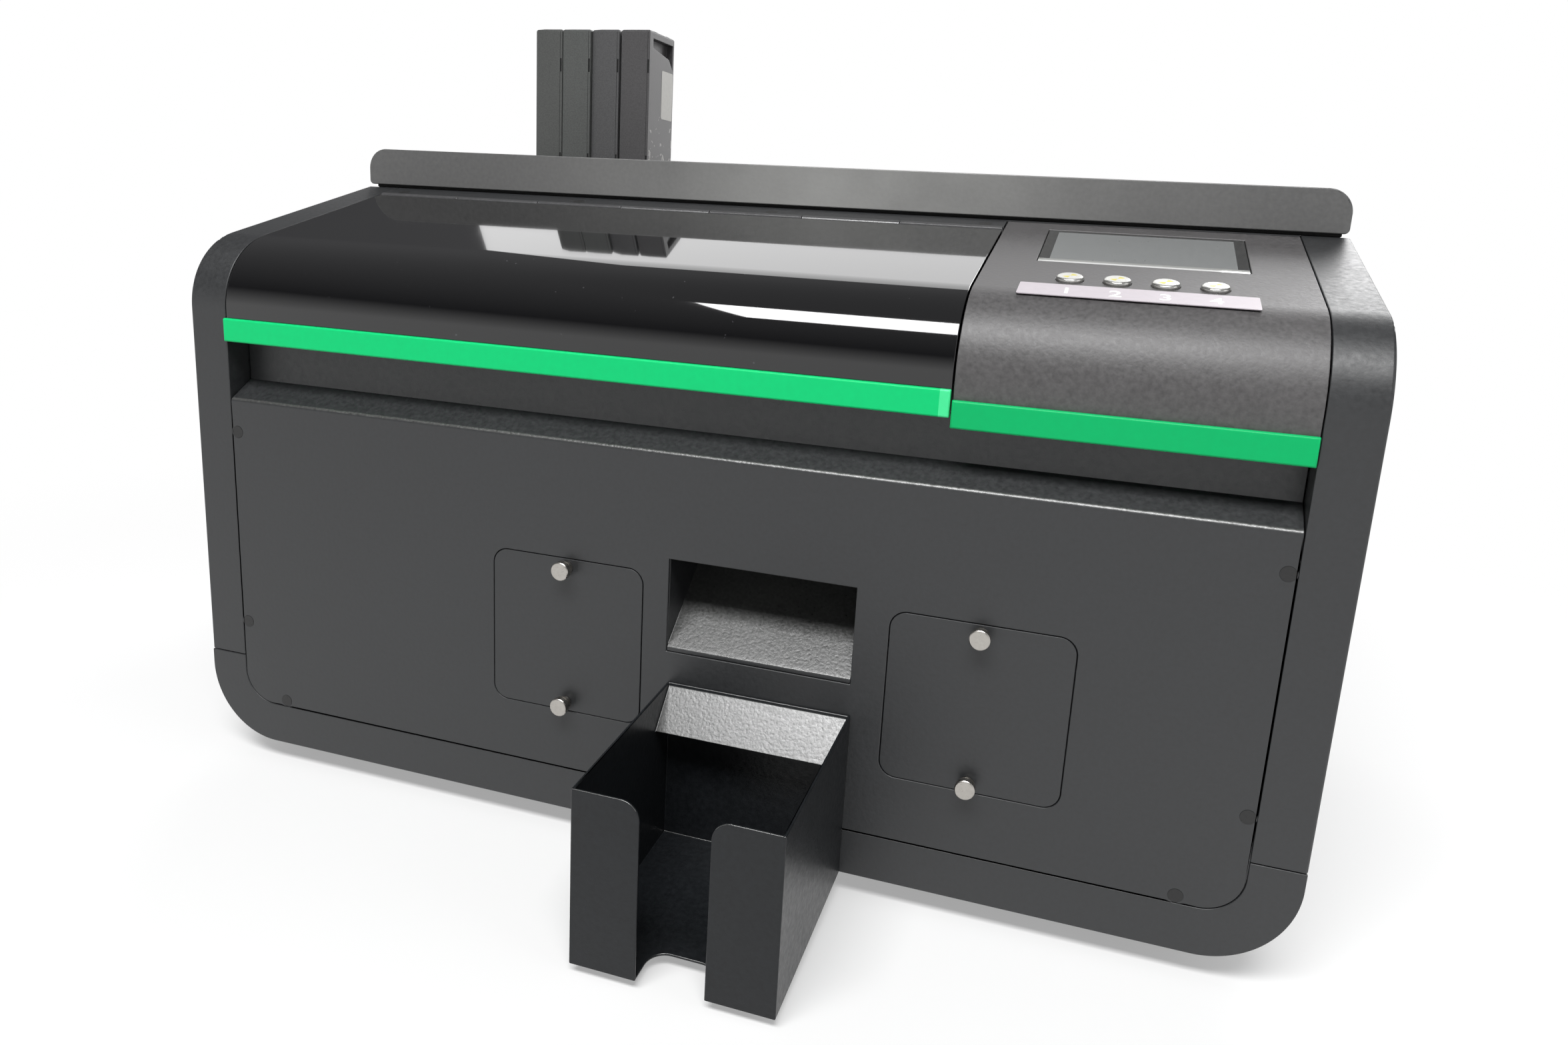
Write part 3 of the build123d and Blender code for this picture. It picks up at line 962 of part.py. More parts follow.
# ---- Card track: folded frame with the rollers, their drive belt and its motor ----
TRACK_HALF = 50.0                        # inner faces of the side walls
TRACK_FRONT = back(CHUTE_DEPTH) + CHUTE_SHEET
TRACK_REAR = MAGAZINE_REAR + 3.0
TRACK_CHEEK = 15.0                       # side walls beside the rollers, above the card path
ROLLER_ROOM = 1.0
ROLLER_RADIUS = 8.0
ROLLER_SHAFT = 3.0
ROLLER_HALF = 32.0
ROLLER_NIP = 0.1                         # rollers, below the card path
ROLLER_Z = up(CARD_PATH_Z) - ROLLER_RADIUS - ROLLER_NIP
EXIT_Y = back(CHUTE_DEPTH + 11.0)
FEED_Y = back(190.0)
PICK_Y = back(232.0)
MOTOR_Y = back(288.0)
PINCH_RADIUS = 5.0
PINCH_SHAFT = 2.0
PINCH_LIFT = 0.9                         # a card's thickness and a little
PINCH_Z = up(CARD_PATH_Z) + PINCH_LIFT + PINCH_RADIUS
PULLEY_RADIUS = 6.0
BELT_X = CARD_PATH_X + TRACK_HALF + SHEET + 5.0
PULLEY_RIM = 1.0                         # each side of the belt
SHAFT_STUB = 4.0
BELT_WIDTH = 5.0
BELT_THICKNESS = 1.2
BELT_FIT = 0.1
ROLLERS = {"exit_roller": EXIT_Y, "feed_roller": FEED_Y, "pick_roller": PICK_Y}
PINCH_ROLLERS = {"exit_pinch_roller": EXIT_Y, "feed_pinch_roller": FEED_Y}
with BuildPart() as card_track:
    for side in (-1, 1):
        inner = CARD_PATH_X + side * TRACK_HALF
        outer = inner + side * SHEET
        near_x, far_x = min(inner, outer), max(inner, outer)
        block(near_x, far_x, TRACK_FRONT, TRACK_REAR, TRAY_FLOOR, up(CARD_PATH_Z))
        block(near_x, far_x, TRACK_FRONT, EXIT_Y + ROLLER_RADIUS + ROLLER_ROOM, up(CARD_PATH_Z),
              up(CARD_PATH_Z + TRACK_CHEEK))
        block(near_x, far_x, FEED_Y - ROLLER_RADIUS - ROLLER_ROOM, TRACK_REAR, up(CARD_PATH_Z),
              up(CARD_PATH_Z + TRACK_CHEEK))
    block(CARD_PATH_X - TRACK_HALF, CARD_PATH_X + TRACK_HALF, EXIT_Y + ROLLER_RADIUS + ROLLER_ROOM,
          TRACK_REAR, TRACK_TOP - SHEET, TRACK_TOP)
    for roller_y in (FEED_Y, PICK_Y):
        block(CARD_PATH_X - ROLLER_HALF - 2 * ROLLER_ROOM, CARD_PATH_X + ROLLER_HALF + 2 * ROLLER_ROOM,
              roller_y - ROLLER_RADIUS - ROLLER_ROOM, roller_y + ROLLER_RADIUS + ROLLER_ROOM,
              TRACK_TOP - SHEET, TRACK_TOP, mode=Mode.SUBTRACT)
    wall_end = TRACK_HALF + SHEET
    for roller_y in ROLLERS.values():
        rod(CARD_PATH_X - wall_end, CARD_PATH_X + wall_end, roller_y, ROLLER_Z, ROLLER_SHAFT + RUNNING,
            mode=Mode.SUBTRACT)
    for roller_y in PINCH_ROLLERS.values():
        rod(CARD_PATH_X - wall_end, CARD_PATH_X + wall_end, roller_y, PINCH_Z, PINCH_SHAFT + RUNNING,
            mode=Mode.SUBTRACT)
save(card_track, "card_track")

for name, roller_y in ROLLERS.items():
    with BuildPart() as roller:
        rod(CARD_PATH_X - wall_end - ROLLER_ROOM, BELT_X + SHAFT_STUB, roller_y, ROLLER_Z, ROLLER_SHAFT)
        rod(CARD_PATH_X - ROLLER_HALF, CARD_PATH_X + ROLLER_HALF, roller_y, ROLLER_Z, ROLLER_RADIUS)
        rod(BELT_X - BELT_WIDTH / 2 - PULLEY_RIM, BELT_X + BELT_WIDTH / 2 + PULLEY_RIM, roller_y, ROLLER_Z,
            PULLEY_RADIUS)
    save(roller, name)

for name, roller_y in PINCH_ROLLERS.items():
    with BuildPart() as pinch_roller:
        rod(CARD_PATH_X - wall_end, CARD_PATH_X + wall_end, roller_y, PINCH_Z, PINCH_SHAFT)
        rod(CARD_PATH_X - ROLLER_HALF, CARD_PATH_X + ROLLER_HALF, roller_y, PINCH_Z, PINCH_RADIUS)
    save(pinch_roller, name)

belt_middle = (EXIT_Y + MOTOR_Y) / 2
belt_reach = MOTOR_Y - EXIT_Y
inner_belt = PULLEY_RADIUS + BELT_FIT
outer_belt = inner_belt + BELT_THICKNESS
with BuildPart() as feed_belt:
    with BuildSketch(side_plane(BELT_X - BELT_WIDTH / 2)):
        with Locations((belt_middle, ROLLER_Z)):
            SlotCenterToCenter(belt_reach, 2 * outer_belt)
            SlotCenterToCenter(belt_reach, 2 * inner_belt, mode=Mode.SUBTRACT)
    extrude(amount=BELT_WIDTH)
save(feed_belt, "feed_belt")

MOTOR_SIZE = 42.3
MOTOR_LENGTH = 34.0
MOTOR_SHAFT = 2.5
MOTOR_CHAMFER = 4.0
MOTOR_FOOT = 20.0
MOTOR_BORE = 5.0
MOTOR_FACE = BELT_X + 8.0
with BuildPart() as feed_motor_pulley:
    rod(BELT_X - BELT_WIDTH / 2 - PULLEY_RIM, BELT_X + BELT_WIDTH / 2 + PULLEY_RIM, MOTOR_Y, ROLLER_Z,
        PULLEY_RADIUS)
    rod(BELT_X, MOTOR_FACE + SHEET + SHAFT_STUB, MOTOR_Y, ROLLER_Z, MOTOR_SHAFT)
save(feed_motor_pulley, "feed_motor_pulley")

with BuildPart() as feed_motor:
    block(MOTOR_FACE + SHEET, MOTOR_FACE + SHEET + MOTOR_LENGTH, MOTOR_Y - MOTOR_SIZE / 2,
          MOTOR_Y + MOTOR_SIZE / 2, ROLLER_Z - MOTOR_SIZE / 2, ROLLER_Z + MOTOR_SIZE / 2)
    chamfer(feed_motor.edges().filter_by(Axis.X), length=MOTOR_CHAMFER)
    block(MOTOR_FACE, MOTOR_FACE + SHEET, MOTOR_Y - MOTOR_SIZE / 2, MOTOR_Y + MOTOR_SIZE / 2, TRAY_FLOOR,
          ROLLER_Z + MOTOR_SIZE / 2)
    block(MOTOR_FACE + SHEET, MOTOR_FACE + MOTOR_FOOT, MOTOR_Y - MOTOR_SIZE / 2,
          MOTOR_Y + MOTOR_SIZE / 2, TRAY_FLOOR, TRAY_FLOOR + SHEET)
    rod(MOTOR_FACE, MOTOR_FACE + SHEET + MOTOR_BORE, MOTOR_Y, ROLLER_Z, MOTOR_SHAFT + RUNNING,
        mode=Mode.SUBTRACT)
save(feed_motor, "feed_motor")

# ---- Carriage: ink-jet head on a guide shaft, drawn along by a toothed belt ----
RAIL_Y = back(172.0)
RAIL_LIP_Y = back(150.0)
RAIL_BASE = up(150.0)
RAIL_TOP = up(206.0)
PARK_IN = 61.5                           # parked carriage, from the left frame
CARRIAGE_PARK = PARK_IN - WEB_X
CARRIAGE_HALF = 45.0
CARRIAGE_FRONT = back(76.0)
CARRIAGE_REAR = back(160.0)
CARRIAGE_BASE = up(CARD_PATH_Z + 18.0)
CARRIAGE_TOP = up(200.0)
CARRIAGE_CORNER = 4.0
HEAD_HALF = 32.0
HEAD_FRONT = back(96.0)
HEAD_REAR = back(140.0)
HEAD_GAP = 3.2                           # printhead to card
DRIVE_IN = 29.5                          # pulley axes, from the frames
DRIVE_X = WEB_X - DRIVE_IN
DRIVE_Z = up(182.0)
DRIVE_RADIUS = 8.0
DRIVE_RIM = 0.5
DRIVE_BELT_Y = back(164.0)
DRIVE_BELT_WIDTH = 6.0
DRIVE_STUB = 3.0
CARRIAGE_FIT = 0.1
SHAFT_FIT = 0.01
CLAMP_HALF = 14.0
CLAMP_JAW = 3.0
CLAMP_WEB = 1.0
with BuildPart() as guide_shaft:
    rod(-WEB_X - SHEET, WEB_X + SHEET, SHAFT_Y, SHAFT_Z, SHAFT_RADIUS - SHAFT_FIT)
save(guide_shaft, "guide_shaft")

with BuildPart() as guide_rail:
    block(-WEB_X, WEB_X, RAIL_Y, RAIL_Y + SHEET, RAIL_BASE, RAIL_TOP)
    block(-WEB_X, WEB_X, RAIL_LIP_Y, RAIL_Y, RAIL_BASE, RAIL_BASE + SHEET)
    with BuildSketch(front_plane(RAIL_Y)):
        with Locations((-DRIVE_X, DRIVE_Z), (DRIVE_X, DRIVE_Z)):
            Circle(MOTOR_SHAFT + RUNNING)
    extrude(amount=-SHEET, mode=Mode.SUBTRACT)
save(guide_rail, "guide_rail")

belt_low = DRIVE_Z - DRIVE_RADIUS - BELT_FIT
with BuildPart() as carriage:
    left = CARRIAGE_PARK - CARRIAGE_HALF
    right = CARRIAGE_PARK + CARRIAGE_HALF
    block(left, right, CARRIAGE_FRONT, CARRIAGE_REAR, CARRIAGE_BASE, CARRIAGE_TOP)
    fillet(carriage.edges().filter_by(Axis.Z), radius=CARRIAGE_CORNER)
    rod(left, right, SHAFT_Y, SHAFT_Z, SHAFT_RADIUS + RUNNING, mode=Mode.SUBTRACT)
    block(left, right, RAIL_LIP_Y - PAST, CARRIAGE_REAR, RAIL_BASE - CARRIAGE_FIT,
          RAIL_BASE + SHEET + CARRIAGE_FIT, mode=Mode.SUBTRACT)
    clamp_y = DRIVE_BELT_Y - CLAMP_WEB
    clamp_left = CARRIAGE_PARK - CLAMP_HALF
    clamp_right = CARRIAGE_PARK + CLAMP_HALF
    clamp_base = belt_low - BELT_THICKNESS - CLAMP_JAW
    clamp_top = belt_low + CLAMP_JAW
    for low, high in ((belt_low + REST_GAP, clamp_top), (clamp_base, belt_low - BELT_THICKNESS - REST_GAP)):
        block(clamp_left, clamp_right, clamp_y, DRIVE_BELT_Y + DRIVE_BELT_WIDTH, low, high)
    block(clamp_left, clamp_right, CARRIAGE_REAR, clamp_y, clamp_base, clamp_top)
save(carriage, "carriage")

with BuildPart() as printhead:
    block(CARRIAGE_PARK - HEAD_HALF, CARRIAGE_PARK + HEAD_HALF, HEAD_FRONT, HEAD_REAR,
          up(CARD_PATH_Z) + HEAD_GAP, CARRIAGE_BASE)
save(printhead, "printhead")

with BuildPart() as carriage_belt:
    with BuildSketch(front_plane(DRIVE_BELT_Y)):
        with Locations((0, DRIVE_Z)):
            SlotCenterToCenter(2 * DRIVE_X, 2 * (DRIVE_RADIUS + BELT_FIT + BELT_THICKNESS))
            SlotCenterToCenter(2 * DRIVE_X, 2 * (DRIVE_RADIUS + BELT_FIT), mode=Mode.SUBTRACT)
    extrude(amount=-DRIVE_BELT_WIDTH)
save(carriage_belt, "carriage_belt")

for name, pulley_x in (("carriage_motor_pulley", -DRIVE_X), ("carriage_idler_pulley", DRIVE_X)):
    with BuildPart() as drive_pulley:
        with BuildSketch(front_plane(DRIVE_BELT_Y - DRIVE_RIM)):
            with Locations((pulley_x, DRIVE_Z)):
                Circle(DRIVE_RADIUS)
        extrude(amount=-(DRIVE_BELT_WIDTH + 2 * DRIVE_RIM))
        with BuildSketch(front_plane(DRIVE_BELT_Y)):
            with Locations((pulley_x, DRIVE_Z)):
                Circle(MOTOR_SHAFT)
        extrude(amount=-(RAIL_Y + SHEET + DRIVE_STUB - DRIVE_BELT_Y))
    save(drive_pulley, name)

with BuildPart() as carriage_motor:
    block(-DRIVE_X - MOTOR_SIZE / 2, -DRIVE_X + MOTOR_SIZE / 2, RAIL_Y + SHEET,
          RAIL_Y + SHEET + MOTOR_LENGTH, DRIVE_Z - MOTOR_SIZE / 2, DRIVE_Z + MOTOR_SIZE / 2)
    chamfer(carriage_motor.edges().filter_by(Axis.Y), length=MOTOR_CHAMFER)
    with BuildSketch(front_plane(RAIL_Y + SHEET)):
        with Locations((-DRIVE_X, DRIVE_Z)):
            Circle(MOTOR_SHAFT + RUNNING)
    extrude(amount=-MOTOR_BORE, mode=Mode.SUBTRACT)
save(carriage_motor, "carriage_motor")

# ---- Capping station under the parked head, power supply and main board ----
CAP_LIP = 4.0                            # cap's rim, round the head
CAP_BASE = 4.0                           # station's body, beyond the cap
CAP_HEIGHT = 6.0
CAP_WALL = 2.0
CAP_GAP = 1.0                            # under the parked head
cap_half = HEAD_HALF - CAP_LIP
cap_front = HEAD_FRONT + CAP_WALL
cap_rear = HEAD_REAR - CAP_WALL
station_half = HEAD_HALF + CAP_BASE
cap_base = up(CARD_PATH_Z) - CAP_HEIGHT
with BuildPart() as capping_station:
    block(CARRIAGE_PARK - station_half, CARRIAGE_PARK + station_half, HEAD_FRONT - CAP_HEIGHT,
          HEAD_REAR + CAP_HEIGHT, TRAY_FLOOR, cap_base)
    block(CARRIAGE_PARK - cap_half, CARRIAGE_PARK + cap_half, cap_front, cap_rear, cap_base,
          up(CARD_PATH_Z) + HEAD_GAP - CAP_GAP)
    block(CARRIAGE_PARK - cap_half + CAP_WALL, CARRIAGE_PARK + cap_half - CAP_WALL, cap_front + CAP_WALL,
          cap_rear - CAP_WALL, up(CARD_PATH_Z), up(CARD_PATH_Z + HEAD_GAP), mode=Mode.SUBTRACT)
save(capping_station, "capping_station")

SUPPLY_INSET = 24.0                      # power supply, from the right frame
SUPPLY_GAP = 0.2                         # and from the feed motor's foot
SUPPLY_FRONT = 70.0                      # behind the front face
SUPPLY_LENGTH = 215.0
SUPPLY_HEIGHT = 42.0
with BuildPart() as power_supply:
    block(MOTOR_FACE + MOTOR_FOOT + SUPPLY_GAP, WEB_X - SUPPLY_INSET, back(SUPPLY_FRONT),
          back(SUPPLY_FRONT + SUPPLY_LENGTH), TRAY_FLOOR, TRAY_FLOOR + SUPPLY_HEIGHT)
save(power_supply, "power_supply")

BOARD_FRONT = 200.0                      # behind the front face
BOARD_INNER = 26.0                       # main board, from the left frame
BOARD_LENGTH = 145.5
BOARD_REAR_GAP = 4.0
POST_HALF = 3.0
USB_DEPTH = 18.0
USB_MOUTH = 4.0                          # half the socket's opening
USB_BORE = 10.0
SINK_SIZE = 40.0                         # heat sink
SINK_FRONT = 230.0
SINK_HEIGHT = 10.0
with BuildPart() as main_board:
    board_left = BOARD_INNER - WEB_X
    board_right = board_left + BOARD_LENGTH
    board_rear = FRAME_REAR - BOARD_REAR_GAP
    board_top = BOARD_BASE + BOARD_SHEET
    block(board_left, board_right, back(BOARD_FRONT), board_rear, BOARD_BASE, board_top)
    for post_x in (board_left + 2 * POST_HALF, board_right - 2 * POST_HALF):
        for post_y in (back(BOARD_FRONT) + 2 * POST_HALF, board_rear - 2 * POST_HALF):
            block(post_x - POST_HALF, post_x + POST_HALF, post_y - POST_HALF, post_y + POST_HALF, TRAY_FLOOR,
                  BOARD_BASE)
    block(USB_X - USB_WIDTH / 2, USB_X + USB_WIDTH / 2, FRAME_REAR - USB_DEPTH, REAR - REAR_GAP, board_top,
          USB_Z + USB_HEIGHT / 2)
    block(USB_X - USB_MOUTH, USB_X + USB_MOUTH, REAR - USB_BORE, REAR, USB_Z - USB_MOUTH, USB_Z + USB_MOUTH,
          mode=Mode.SUBTRACT)
    block(USB_X - SINK_SIZE / 2, USB_X + SINK_SIZE / 2, back(SINK_FRONT), back(SINK_FRONT + SINK_SIZE),
          board_top, board_top + SINK_HEIGHT)
save(main_board, "main_board")
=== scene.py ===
import json
from math import cos, hypot, pi, radians, sin

import bmesh
import bpy
from mathutils import Matrix, Vector, kdtree


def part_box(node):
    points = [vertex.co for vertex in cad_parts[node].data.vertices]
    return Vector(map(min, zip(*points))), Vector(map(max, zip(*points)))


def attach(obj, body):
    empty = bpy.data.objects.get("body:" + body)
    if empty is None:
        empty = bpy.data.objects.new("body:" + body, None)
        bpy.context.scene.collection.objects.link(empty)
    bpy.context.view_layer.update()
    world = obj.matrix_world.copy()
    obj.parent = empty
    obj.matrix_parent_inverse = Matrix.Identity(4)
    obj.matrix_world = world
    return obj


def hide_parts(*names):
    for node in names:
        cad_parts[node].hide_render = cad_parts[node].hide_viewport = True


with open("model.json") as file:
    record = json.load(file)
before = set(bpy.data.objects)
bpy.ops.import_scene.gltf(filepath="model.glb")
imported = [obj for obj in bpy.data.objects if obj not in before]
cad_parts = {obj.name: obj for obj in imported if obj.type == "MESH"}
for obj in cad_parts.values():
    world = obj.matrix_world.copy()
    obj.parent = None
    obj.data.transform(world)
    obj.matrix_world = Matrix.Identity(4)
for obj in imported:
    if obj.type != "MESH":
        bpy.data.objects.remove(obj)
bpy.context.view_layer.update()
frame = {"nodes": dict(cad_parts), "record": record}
nodes = frame["nodes"]

# ---- Camera ----
# Held at the height of the rear hood, to the right of the machine's middle, looking down a little.
# The picture is 2352 pixels wide, and the optical axis passes above its middle.
PICTURE_WIDTH = 2352
FOCAL_PIXELS = 1622.8
AXIS_ABOVE_MIDDLE = 81.5
EYE = Vector((0.18499, -0.57626, 0.31294))
RIGHTWARDS = Vector((0.95104, 0.30410, 0.05518))
UPWARDS = Vector((-0.11894, 0.19534, 0.97350)).normalized()
camera_data = bpy.data.cameras.new("camera")
camera_data.sensor_width = 36
camera_data.lens = FOCAL_PIXELS / PICTURE_WIDTH * camera_data.sensor_width
camera_data.shift_y = -AXIS_ABOVE_MIDDLE / PICTURE_WIDTH
camera_data.clip_start = 0.01
camera = bpy.data.objects.new("camera", camera_data)
bpy.context.scene.collection.objects.link(camera)
forwards = UPWARDS.cross(RIGHTWARDS).normalized()
axes = Matrix((forwards.cross(UPWARDS), UPWARDS, -forwards)).transposed()
camera.matrix_world = Matrix.Translation(EYE) @ axes.to_4x4()
bpy.context.scene.camera = camera


# ---- Studio ----
# An even white world, with four soft lamps round the machine. Polished pieces see the world fade to
# grey overhead, as in a room whose upper walls and ceiling are darker than its windows.
def add_node(tree, kind, values=None, **settings):
    """Shader node with its settings made, and with values on the sockets that are named."""
    node = tree.nodes.new(kind)
    for name, setting in settings.items():
        setattr(node, name, setting)
    for socket, value in (values or {}).items():
        node.inputs[socket].default_value = value
    return node


def link_nodes(tree, *links):
    """Links sockets, each link given as a node, its output, the next node and its input."""
    for start, output, end, entry in links:
        tree.links.new(start.outputs[output], end.inputs[entry])


bpy.context.scene.view_settings.view_transform = "Standard"
WORLD_LIGHT = 0.18
WHITE = (1, 1, 1, 1)
HORIZON, HORIZON_COLOUR = 0.05, WHITE
UPPER_WALL, UPPER_WALL_COLOUR = 0.36, (0.08, 0.08, 0.083, 1)
OVERHEAD, OVERHEAD_COLOUR = 0.85, (0.27, 0.27, 0.275, 1)
world = bpy.data.worlds.new("studio")
bpy.context.scene.world = world
world.use_nodes = True
sky = world.node_tree
sky.nodes.clear()
sky_path = add_node(sky, "ShaderNodeLightPath")
sky_place = add_node(sky, "ShaderNodeTexCoord")
sky_height = add_node(sky, "ShaderNodeSeparateXYZ")
sky_fade = add_node(sky, "ShaderNodeValToRGB")
fade_start, fade_end = sky_fade.color_ramp.elements
fade_start.position, fade_start.color = HORIZON, HORIZON_COLOUR
fade_end.position, fade_end.color = UPPER_WALL, UPPER_WALL_COLOUR
sky_fade.color_ramp.elements.new(OVERHEAD).color = OVERHEAD_COLOUR
sky_even = add_node(sky, "ShaderNodeBackground", {"Strength": WORLD_LIGHT})
sky_room = add_node(sky, "ShaderNodeBackground")
sky_white = add_node(sky, "ShaderNodeBackground", {"Color": WHITE})
sky_mirrored = add_node(sky, "ShaderNodeMixShader")
sky_glass = add_node(sky, "ShaderNodeMath", operation="MAXIMUM")
sky_seen = add_node(sky, "ShaderNodeMixShader")
sky_out = add_node(sky, "ShaderNodeOutputWorld")
link_nodes(
    sky,
    (sky_place, "Generated", sky_height, "Vector"),
    (sky_height, "Z", sky_fade, "Fac"),
    (sky_fade, "Color", sky_room, "Color"),
    (sky_path, "Is Glossy Ray", sky_mirrored, "Fac"),
    (sky_even, "Background", sky_mirrored, 1),
    (sky_room, "Background", sky_mirrored, 2),
    (sky_path, "Is Camera Ray", sky_glass, 0),
    (sky_path, "Is Transmission Ray", sky_glass, 1),
    (sky_glass, 0, sky_seen, "Fac"),
    (sky_mirrored, "Shader", sky_seen, 1),
    (sky_white, "Background", sky_seen, 2),
    (sky_seen, "Shader", sky_out, "Surface"),
)


def lamp(name, place, target, width, depth, power):
    """Soft oblong lamp that points at a target. Sizes are in metres and the power in watts."""
    data = bpy.data.lights.new(name, "AREA")
    data.shape = "RECTANGLE"
    data.size = width
    data.size_y = depth
    data.energy = power
    light = bpy.data.objects.new(name, data)
    bpy.context.scene.collection.objects.link(light)
    light.location = place
    light.visible_camera = False
    light.rotation_mode = "QUATERNION"
    light.rotation_quaternion = (Vector(target) - Vector(place)).to_track_quat("-Z", "Y")


lamp("ceiling_strip", (0.07, -1.37, 2.2), (0.07, -1.37, 0), width=1.86, depth=0.74, power=80)
lamp("back_wall_light", (-0.2, 2.2, 1.75), (-0.2, 0, 1.75), width=3.3, depth=2.9, power=46)
lamp("right_window", (2.3, -0.5, 1.2), (0.2, 0, 0.2), width=1.2, depth=1.4, power=6)
lamp("rear_window", (0.85, 2.0, 1.45), (0.2, 0, 0.3), width=0.9, depth=1.1, power=14)

# ---- Floor ----
# A pale, even floor. It keeps the machine's shadow near it, and farther out it is seen as plain
# white, like a backdrop with no edge.
FLOOR_REACH = 8
FLOOR_COLOUR = (0.9, 0.9, 0.9, 1)
FLOOR_BOUNCE = (0.5, 0.5, 0.5, 1)
SHADOW_REACH = 0.25
WHITE_FROM = 0.95
WHITE_NEAR_MACHINE = 0.35
floor_shape = bmesh.new()
bmesh.ops.create_grid(floor_shape, x_segments=1, y_segments=1, size=FLOOR_REACH)
floor_data = bpy.data.meshes.new("floor")
floor_shape.to_mesh(floor_data)
floor_shape.free()
floor = bpy.data.objects.new("floor", floor_data)
bpy.context.scene.collection.objects.link(floor)
floor_paint = bpy.data.materials.new("pale_floor")
floor_paint.use_nodes = True
floor_tree = floor_paint.node_tree
floor_shader = floor_tree.nodes["Principled BSDF"]
floor_shader.inputs["Roughness"].default_value = 0.8
floor_path = add_node(floor_tree, "ShaderNodeLightPath")
floor_seen = add_node(floor_tree, "ShaderNodeMath", operation="MAXIMUM")
floor_glass = add_node(floor_tree, "ShaderNodeMath", operation="MAXIMUM")
floor_colour = add_node(floor_tree, "ShaderNodeMix", {"A": FLOOR_BOUNCE, "B": FLOOR_COLOUR}, data_type="RGBA")
floor_place = add_node(floor_tree, "ShaderNodeTexCoord")
floor_far = add_node(floor_tree, "ShaderNodeVectorMath", operation="LENGTH")
floor_fade = add_node(
    floor_tree, "ShaderNodeMapRange",
    {"From Min": SHADOW_REACH, "From Max": WHITE_FROM, "To Min": WHITE_NEAR_MACHINE},
    interpolation_type="SMOOTHSTEP",
)
floor_share = add_node(floor_tree, "ShaderNodeMath", operation="MULTIPLY")
floor_white = add_node(floor_tree, "ShaderNodeEmission")
floor_mix = add_node(floor_tree, "ShaderNodeMixShader")
link_nodes(
    floor_tree,
    (floor_path, "Is Camera Ray", floor_seen, 0),
    (floor_path, "Is Glossy Ray", floor_seen, 1),
    (floor_seen, 0, floor_glass, 0),
    (floor_path, "Is Transmission Ray", floor_glass, 1),
    (floor_glass, 0, floor_colour, "Factor"),
    (floor_colour, "Result", floor_shader, "Base Color"),
    (floor_place, "Object", floor_far, 0),
    (floor_far, "Value", floor_fade, "Value"),
    (floor_fade, "Result", floor_share, 0),
    (floor_glass, 0, floor_share, 1),
    (floor_share, 0, floor_mix, "Fac"),
    (floor_shader, "BSDF", floor_mix, 1),
    (floor_white, "Emission", floor_mix, 2),
    (floor_mix, "Shader", floor_tree.nodes["Material Output"], "Surface"),
)
floor_data.materials.append(floor_paint)

# ---- Base tray ----
# Folded steel tray with rounded sides and a border that frames the front panel. It has a satin black
# powder coat with a fine grain, as most folded steel pieces of the case have.
MM = 0.001
record = frame["record"]
body_of = {node: body for body, members in record["behaviour"]["bodies"].items() for node in members}
CLOUDS_PER_METRE = 14
CLOUD_SHARE = 0.3
MEAN_GRAIN = 0.65
SPREAD_OF_ROUGHNESS = 0.25


def grain_group():
    """Mottled grain: a colour, a roughness and a height that change over the surface."""
    group = bpy.data.node_groups.new("fine_grain", "ShaderNodeTree")
    for name, kind, value in (
        ("Colour", "NodeSocketColor", (0.03, 0.03, 0.03, 1)),
        ("Grain per metre", "NodeSocketFloat", 1500),
        ("Contrast", "NodeSocketFloat", 0.8),
        ("Roughness", "NodeSocketFloat", 0.45),
    ):
        group.interface.new_socket(name, in_out="INPUT", socket_type=kind).default_value = value
    for name, kind in (("Colour", "NodeSocketColor"), ("Roughness", "NodeSocketFloat"),
                       ("Height", "NodeSocketFloat")):
        group.interface.new_socket(name, in_out="OUTPUT", socket_type=kind)
    given, out = add_node(group, "NodeGroupInput"), add_node(group, "NodeGroupOutput")
    place = add_node(group, "ShaderNodeTexCoord")
    grain = add_node(group, "ShaderNodeTexNoise", {"Detail": 3})
    cloud = add_node(group, "ShaderNodeTexNoise", {"Scale": CLOUDS_PER_METRE, "Detail": 3})
    both = add_node(group, "ShaderNodeMath", {1: CLOUD_SHARE}, operation="MULTIPLY_ADD")
    centred = add_node(group, "ShaderNodeMath", {1: MEAN_GRAIN}, operation="SUBTRACT")
    shade = add_node(group, "ShaderNodeMath", {2: 1}, operation="MULTIPLY_ADD")
    rough = add_node(group, "ShaderNodeMath", {1: SPREAD_OF_ROUGHNESS}, operation="MULTIPLY_ADD")
    tint = add_node(group, "ShaderNodeVectorMath", operation="SCALE")
    link_nodes(
        group,
        (place, "Object", grain, "Vector"),
        (place, "Object", cloud, "Vector"),
        (given, "Grain per metre", grain, "Scale"),
        (cloud, "Fac", both, 0),
        (grain, "Fac", both, 2),
        (both, 0, centred, 0),
        (centred, 0, shade, 0),
        (given, "Contrast", shade, 1),
        (given, "Colour", tint, 0),
        (shade, 0, tint, "Scale"),
        (centred, 0, rough, 0),
        (given, "Roughness", rough, 2),
        (tint, 0, out, "Colour"),
        (rough, 0, out, "Roughness"),
        (grain, "Fac", out, "Height"),
    )
    return group


fine_grain = grain_group()


